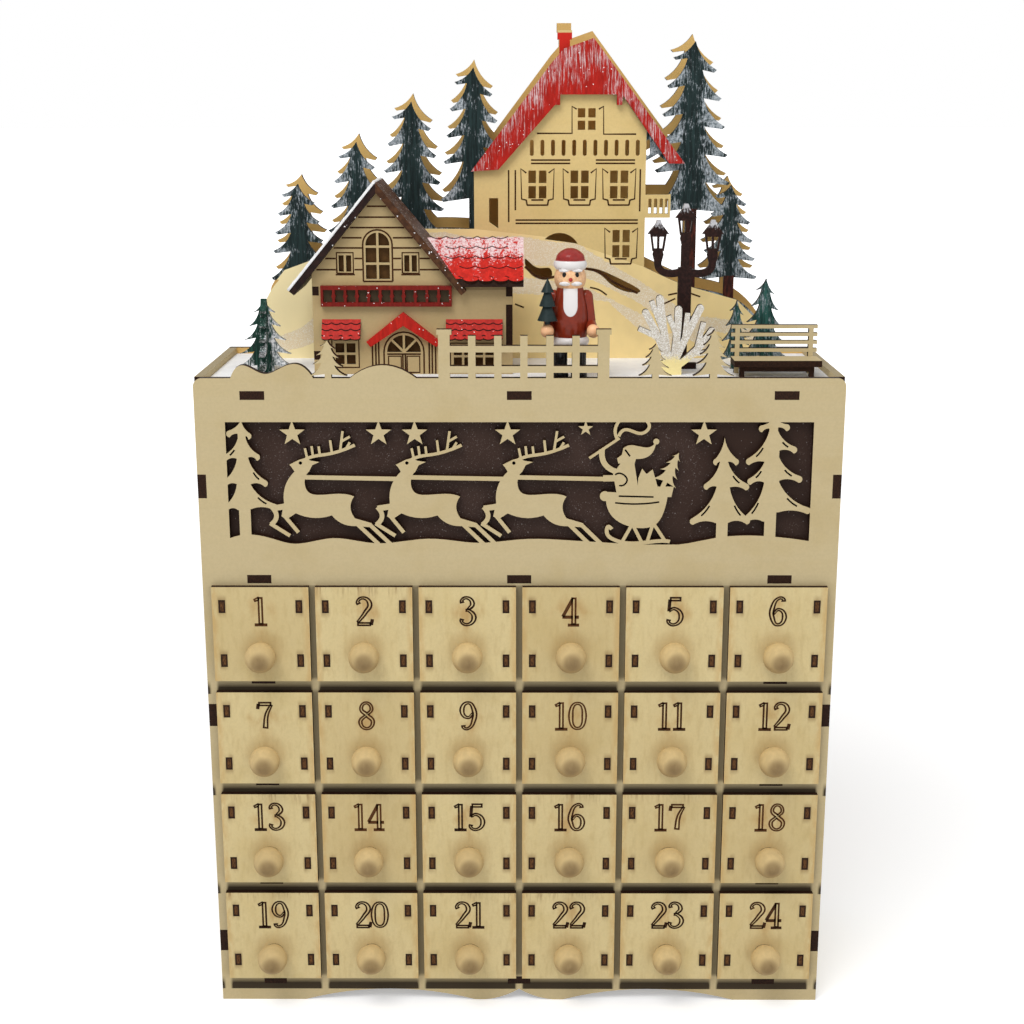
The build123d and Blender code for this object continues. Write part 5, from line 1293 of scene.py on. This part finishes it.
class CALENDAR_OT_street(bpy.types.Operator):
    """Street lamp, frosted bush and bench."""

    bl_idname = "calendar.street"
    bl_label = "Street"

    def execute(self, context):
        paint = Paint("lamp_stain", 0.5)
        cloud = paint.noise(0.7, detail=4.0)
        colour = paint.tones(cloud, colours().trunk, 0.4, 1.0, 0.35, 0.7)
        up = paint.z - SNOW
        middle = abs(paint.x - LAMP_X) < LAMP_SPLIT
        cap = middle * up.rise(72, 79) + (1 - middle) * up.rise(64.5, 71)
        snow = spread_snow(paint, cap * 0.9, 0.6)
        colour = paint.mix(snow * 0.85, colour, tint(214, 214, 218))
        dress(paint.finish(colour, cloud, 0.1, 0.4), "street_lamp")
        self.bush()
        self.bench()
        return {"FINISHED"}

    def bush(self):
        """Bush thick with white glitter, bare wood at its root."""
        paint = Paint("bush_frost", 0.55)
        frost = paint.noise(1.6, detail=5.0)
        wood = wood_face(paint, colours().hill, "x")[0]
        white = paint.mix(paint.grains(3.0, 0.4) * 0.8, tint(214, 206, 192), tint(255, 254, 250))
        up = (paint.z - SNOW + (frost - 0.5) * 8).rise(6, 10)
        colour = paint.mix(up, wood, white)
        colour = burnt(paint, colour, paint.edges(1))
        dress(paint.finish(colour, frost, 0.35, 0.6), "frosted_bush")

    def bench(self):
        """Bench with tan slats, a pale seat and a dark front edge."""
        paint = Paint("bench_plywood")
        colour, fibre = wood_face(paint, colours().panel, "x")
        up = paint.z - SNOW
        seat = up.between(BENCH_SEAT_LOW, BENCH_SEAT_HIGH) * (paint.y < FRONT + BENCH_SEAT_BACK)
        cut = seat * paint.edges(2) + (1 - seat) * paint.edges(1)
        leg = (up < BENCH_SEAT_LOW) * (paint.y < FRONT + BENCH_LEG_BACK)
        colour = burnt(paint, colour, (cut + leg).least(1))
        dress(paint.finish(colour, fibre, 0.06, 0.35), "bench")


LEFT_FIR_X = -122.0
LEFT_FIR_DEPTH = 38.5
RIGHT_FIRS = (105.0, 119.4)


class CALENDAR_OT_firs(bpy.types.Operator):
    """Painted firs that stand in the snow."""

    bl_idname = "calendar.firs"
    bl_label = "Firs"

    def execute(self, context):
        green = tint(34, 66, 56)
        paint = Paint("left_fir_paint", 0.65)
        across = paint.x - LEFT_FIR_X
        away = abs(across) + abs(paint.y - FRONT - LEFT_FIR_DEPTH)
        lee = across.rise(-0.5, 5.0) * 0.42 + (paint.z - SNOW).rise(8, 40) * 0.14 - 0.02
        colour = fir_finish(paint, away, lee, green, 1.0, light=tint(250, 250, 251))
        colour = burnt(paint, colour, paint.edges(1) * paint.edges(0) * 0.5)
        dress(paint.finish(colour, paint.noise(1.4, (1, 1, 0.12)), 0.1, 0.4), "left_fir")
        paint = Paint("right_fir_paint", 0.65)
        away = abs(paint.x - RIGHT_FIRS[0]).least(abs(paint.x - RIGHT_FIRS[1]))
        colour = fir_finish(paint, away, 0.24, tint(40, 76, 70), 0.7)
        colour = burnt(paint, colour, paint.edges(1) * 0.8)
        dress(paint.finish(colour, paint.noise(1.4, (1, 1, 0.12)), 0.1, 0.4), "right_firs")
        return {"FINISHED"}


CAMERA_PLACE = Vector((0.0002, -0.77466, 0.43973))
CAMERA_PITCH = 0.2479
CAMERA_YAW = -0.0049
CAMERA_ROLL = 0.0008
CAMERA_LENS = 56.634
CAMERA_SENSOR = 36.0
FLOOR_HALF = 30.0
FLOOR_TONE = (0.93, 0.93, 0.93)
FLOOR_GLOW = 0.36
GLOW_NEAR = 350.0
GLOW_FAR = 2000.0
SKY_LIGHT = 0.45
SEEN_RAYS = ("Is Camera Ray", "Is Glossy Ray", "Is Transmission Ray")

# Name, place, aim, width and power of each lamp, in metres and watts
LAMPS = (
    ("key_lamp", (-0.5, -1.1, 1.95), (0, 0, 0.22), 1.1, 24.0),
    ("fill_lamp", (1.1, -1.2, 1.0), (0, 0, 0.25), 1.2, 3.5),
)


def lamp(name, place, aim, width, power):
    """Soft square studio lamp aimed at a point."""
    light = bpy.data.lights.new(name, "AREA")
    light.shape = "RECTANGLE"
    light.size = light.size_y = width
    light.energy = power
    made = bpy.data.objects.new(name, light)
    made.location = place
    made.rotation_euler = (Vector(aim) - Vector(place)).to_track_quat("-Z", "Y").to_euler()
    bpy.context.scene.collection.objects.link(made)


class CALENDAR_OT_stage(bpy.types.Operator):
    """Pale floor, soft studio light and the camera."""

    bl_idname = "calendar.stage"
    bl_label = "Stage"

    def execute(self, context):
        scene = context.scene
        scene.view_settings.view_transform = "Standard"
        floor = bmesh.new()
        bmesh.ops.create_grid(floor, x_segments=2, y_segments=2, size=FLOOR_HALF)
        mesh = bpy.data.meshes.new("floor")
        floor.to_mesh(mesh)
        floor.free()
        mesh.materials.append(self.floor_white())
        ground = bpy.data.objects.new("floor", mesh)
        scene.collection.objects.link(ground)
        self.sky(scene)
        for settings in LAMPS:
            lamp(*settings)
        self.camera(scene)
        return {"FINISHED"}

    def seen(self, nodes):
        """1 for what the camera sees itself, in a mirror or through glass."""
        path = nodes.node("ShaderNodeLightPath")
        direct, mirrored, through = (Field(nodes, path.outputs[ray]) for ray in SEEN_RAYS)
        return direct.most(mirrored).most(through)

    def floor_white(self):
        """Pale floor that looks white and keeps the calendar's shadow."""
        paint = Paint("floor_white", 0.95, specular=0.5)
        length = paint.node("ShaderNodeVectorMath", {"operation": "LENGTH"}, {0: paint.place})
        away = (Field(paint, length.outputs["Value"]) - GLOW_NEAR) / (GLOW_FAR - GLOW_NEAR)
        glow = (away.most(0).least(1) * (1 - FLOOR_GLOW) + FLOOR_GLOW) * self.seen(paint)
        paint.tree.links.new(glow.socket, paint.shader.inputs["Emission Color"])
        paint.shader.inputs["Emission Strength"].default_value = 1.0
        return paint.finish(FLOOR_TONE)

    def sky(self, scene):
        """Even studio surround, white where the camera sees it."""
        world = bpy.data.worlds.new("studio")
        scene.world = world
        world.use_nodes = True
        background = world.node_tree.nodes["Background"]
        background.inputs["Color"].default_value = (1, 1, 1, 1)
        strength = self.seen(Nodes(world.node_tree)) * (1 - SKY_LIGHT) + SKY_LIGHT
        world.node_tree.links.new(strength.socket, background.inputs["Strength"])

    def camera(self, scene):
        """Camera at the photograph's angle."""
        data = bpy.data.cameras.new("camera")
        data.sensor_width = CAMERA_SENSOR
        data.lens = CAMERA_LENS
        data.clip_start = 0.01
        data.clip_end = 200
        made = bpy.data.objects.new("camera", data)
        ahead = Vector((math.sin(CAMERA_YAW) * math.cos(CAMERA_PITCH),
                        math.cos(CAMERA_YAW) * math.cos(CAMERA_PITCH), -math.sin(CAMERA_PITCH)))
        turn = ahead.to_track_quat("-Z", "Y").to_matrix().to_4x4()
        roll = Matrix.Rotation(-CAMERA_ROLL, 4, "Z")
        made.matrix_world = Matrix.Translation(CAMERA_PLACE) @ turn @ roll
        scene.collection.objects.link(made)
        scene.camera = made


OPERATORS = (
    CALENDAR_OT_case, CALENDAR_OT_drawers, CALENDAR_OT_light_box, CALENDAR_OT_backdrop,
    CALENDAR_OT_chalet, CALENDAR_OT_figure, CALENDAR_OT_street, CALENDAR_OT_firs, CALENDAR_OT_stage,
)


class CALENDAR_PT_panel(bpy.types.Panel):
    """Lists the calendar's pieces."""

    bl_idname = "CALENDAR_PT_panel"
    bl_label = "Drawer Calendar"
    bl_space_type = "VIEW_3D"
    bl_region_type = "UI"
    bl_category = "Calendar"

    def draw(self, context):
        for operator in OPERATORS:
            self.layout.operator(operator.bl_idname)
        for group in (colours(), sizes()):
            box = self.layout.box()
            for key in group.bl_rna.properties.keys():
                if key not in ("rna_type", "name"):
                    box.prop(group, key)


CLASSES = (CalendarColours, CalendarSizes, *OPERATORS, CALENDAR_PT_panel)


def register():
    """Make the classes known and give the scene its settings."""
    for kind in CLASSES:
        bpy.utils.register_class(kind)
    bpy.types.Scene.calendar_colours = bpy.props.PointerProperty(type=CalendarColours)
    bpy.types.Scene.calendar_sizes = bpy.props.PointerProperty(type=CalendarSizes)


def unregister():
    """Take the classes and settings away again."""
    del bpy.types.Scene.calendar_sizes
    del bpy.types.Scene.calendar_colours
    for kind in reversed(CLASSES):
        bpy.utils.unregister_class(kind)


def main():
    """Dress the whole calendar."""
    register()
    for operator in OPERATORS:
        group, name = operator.bl_idname.split(".")
        getattr(getattr(bpy.ops, group), name)()


if __name__ == "__main__":
    main()
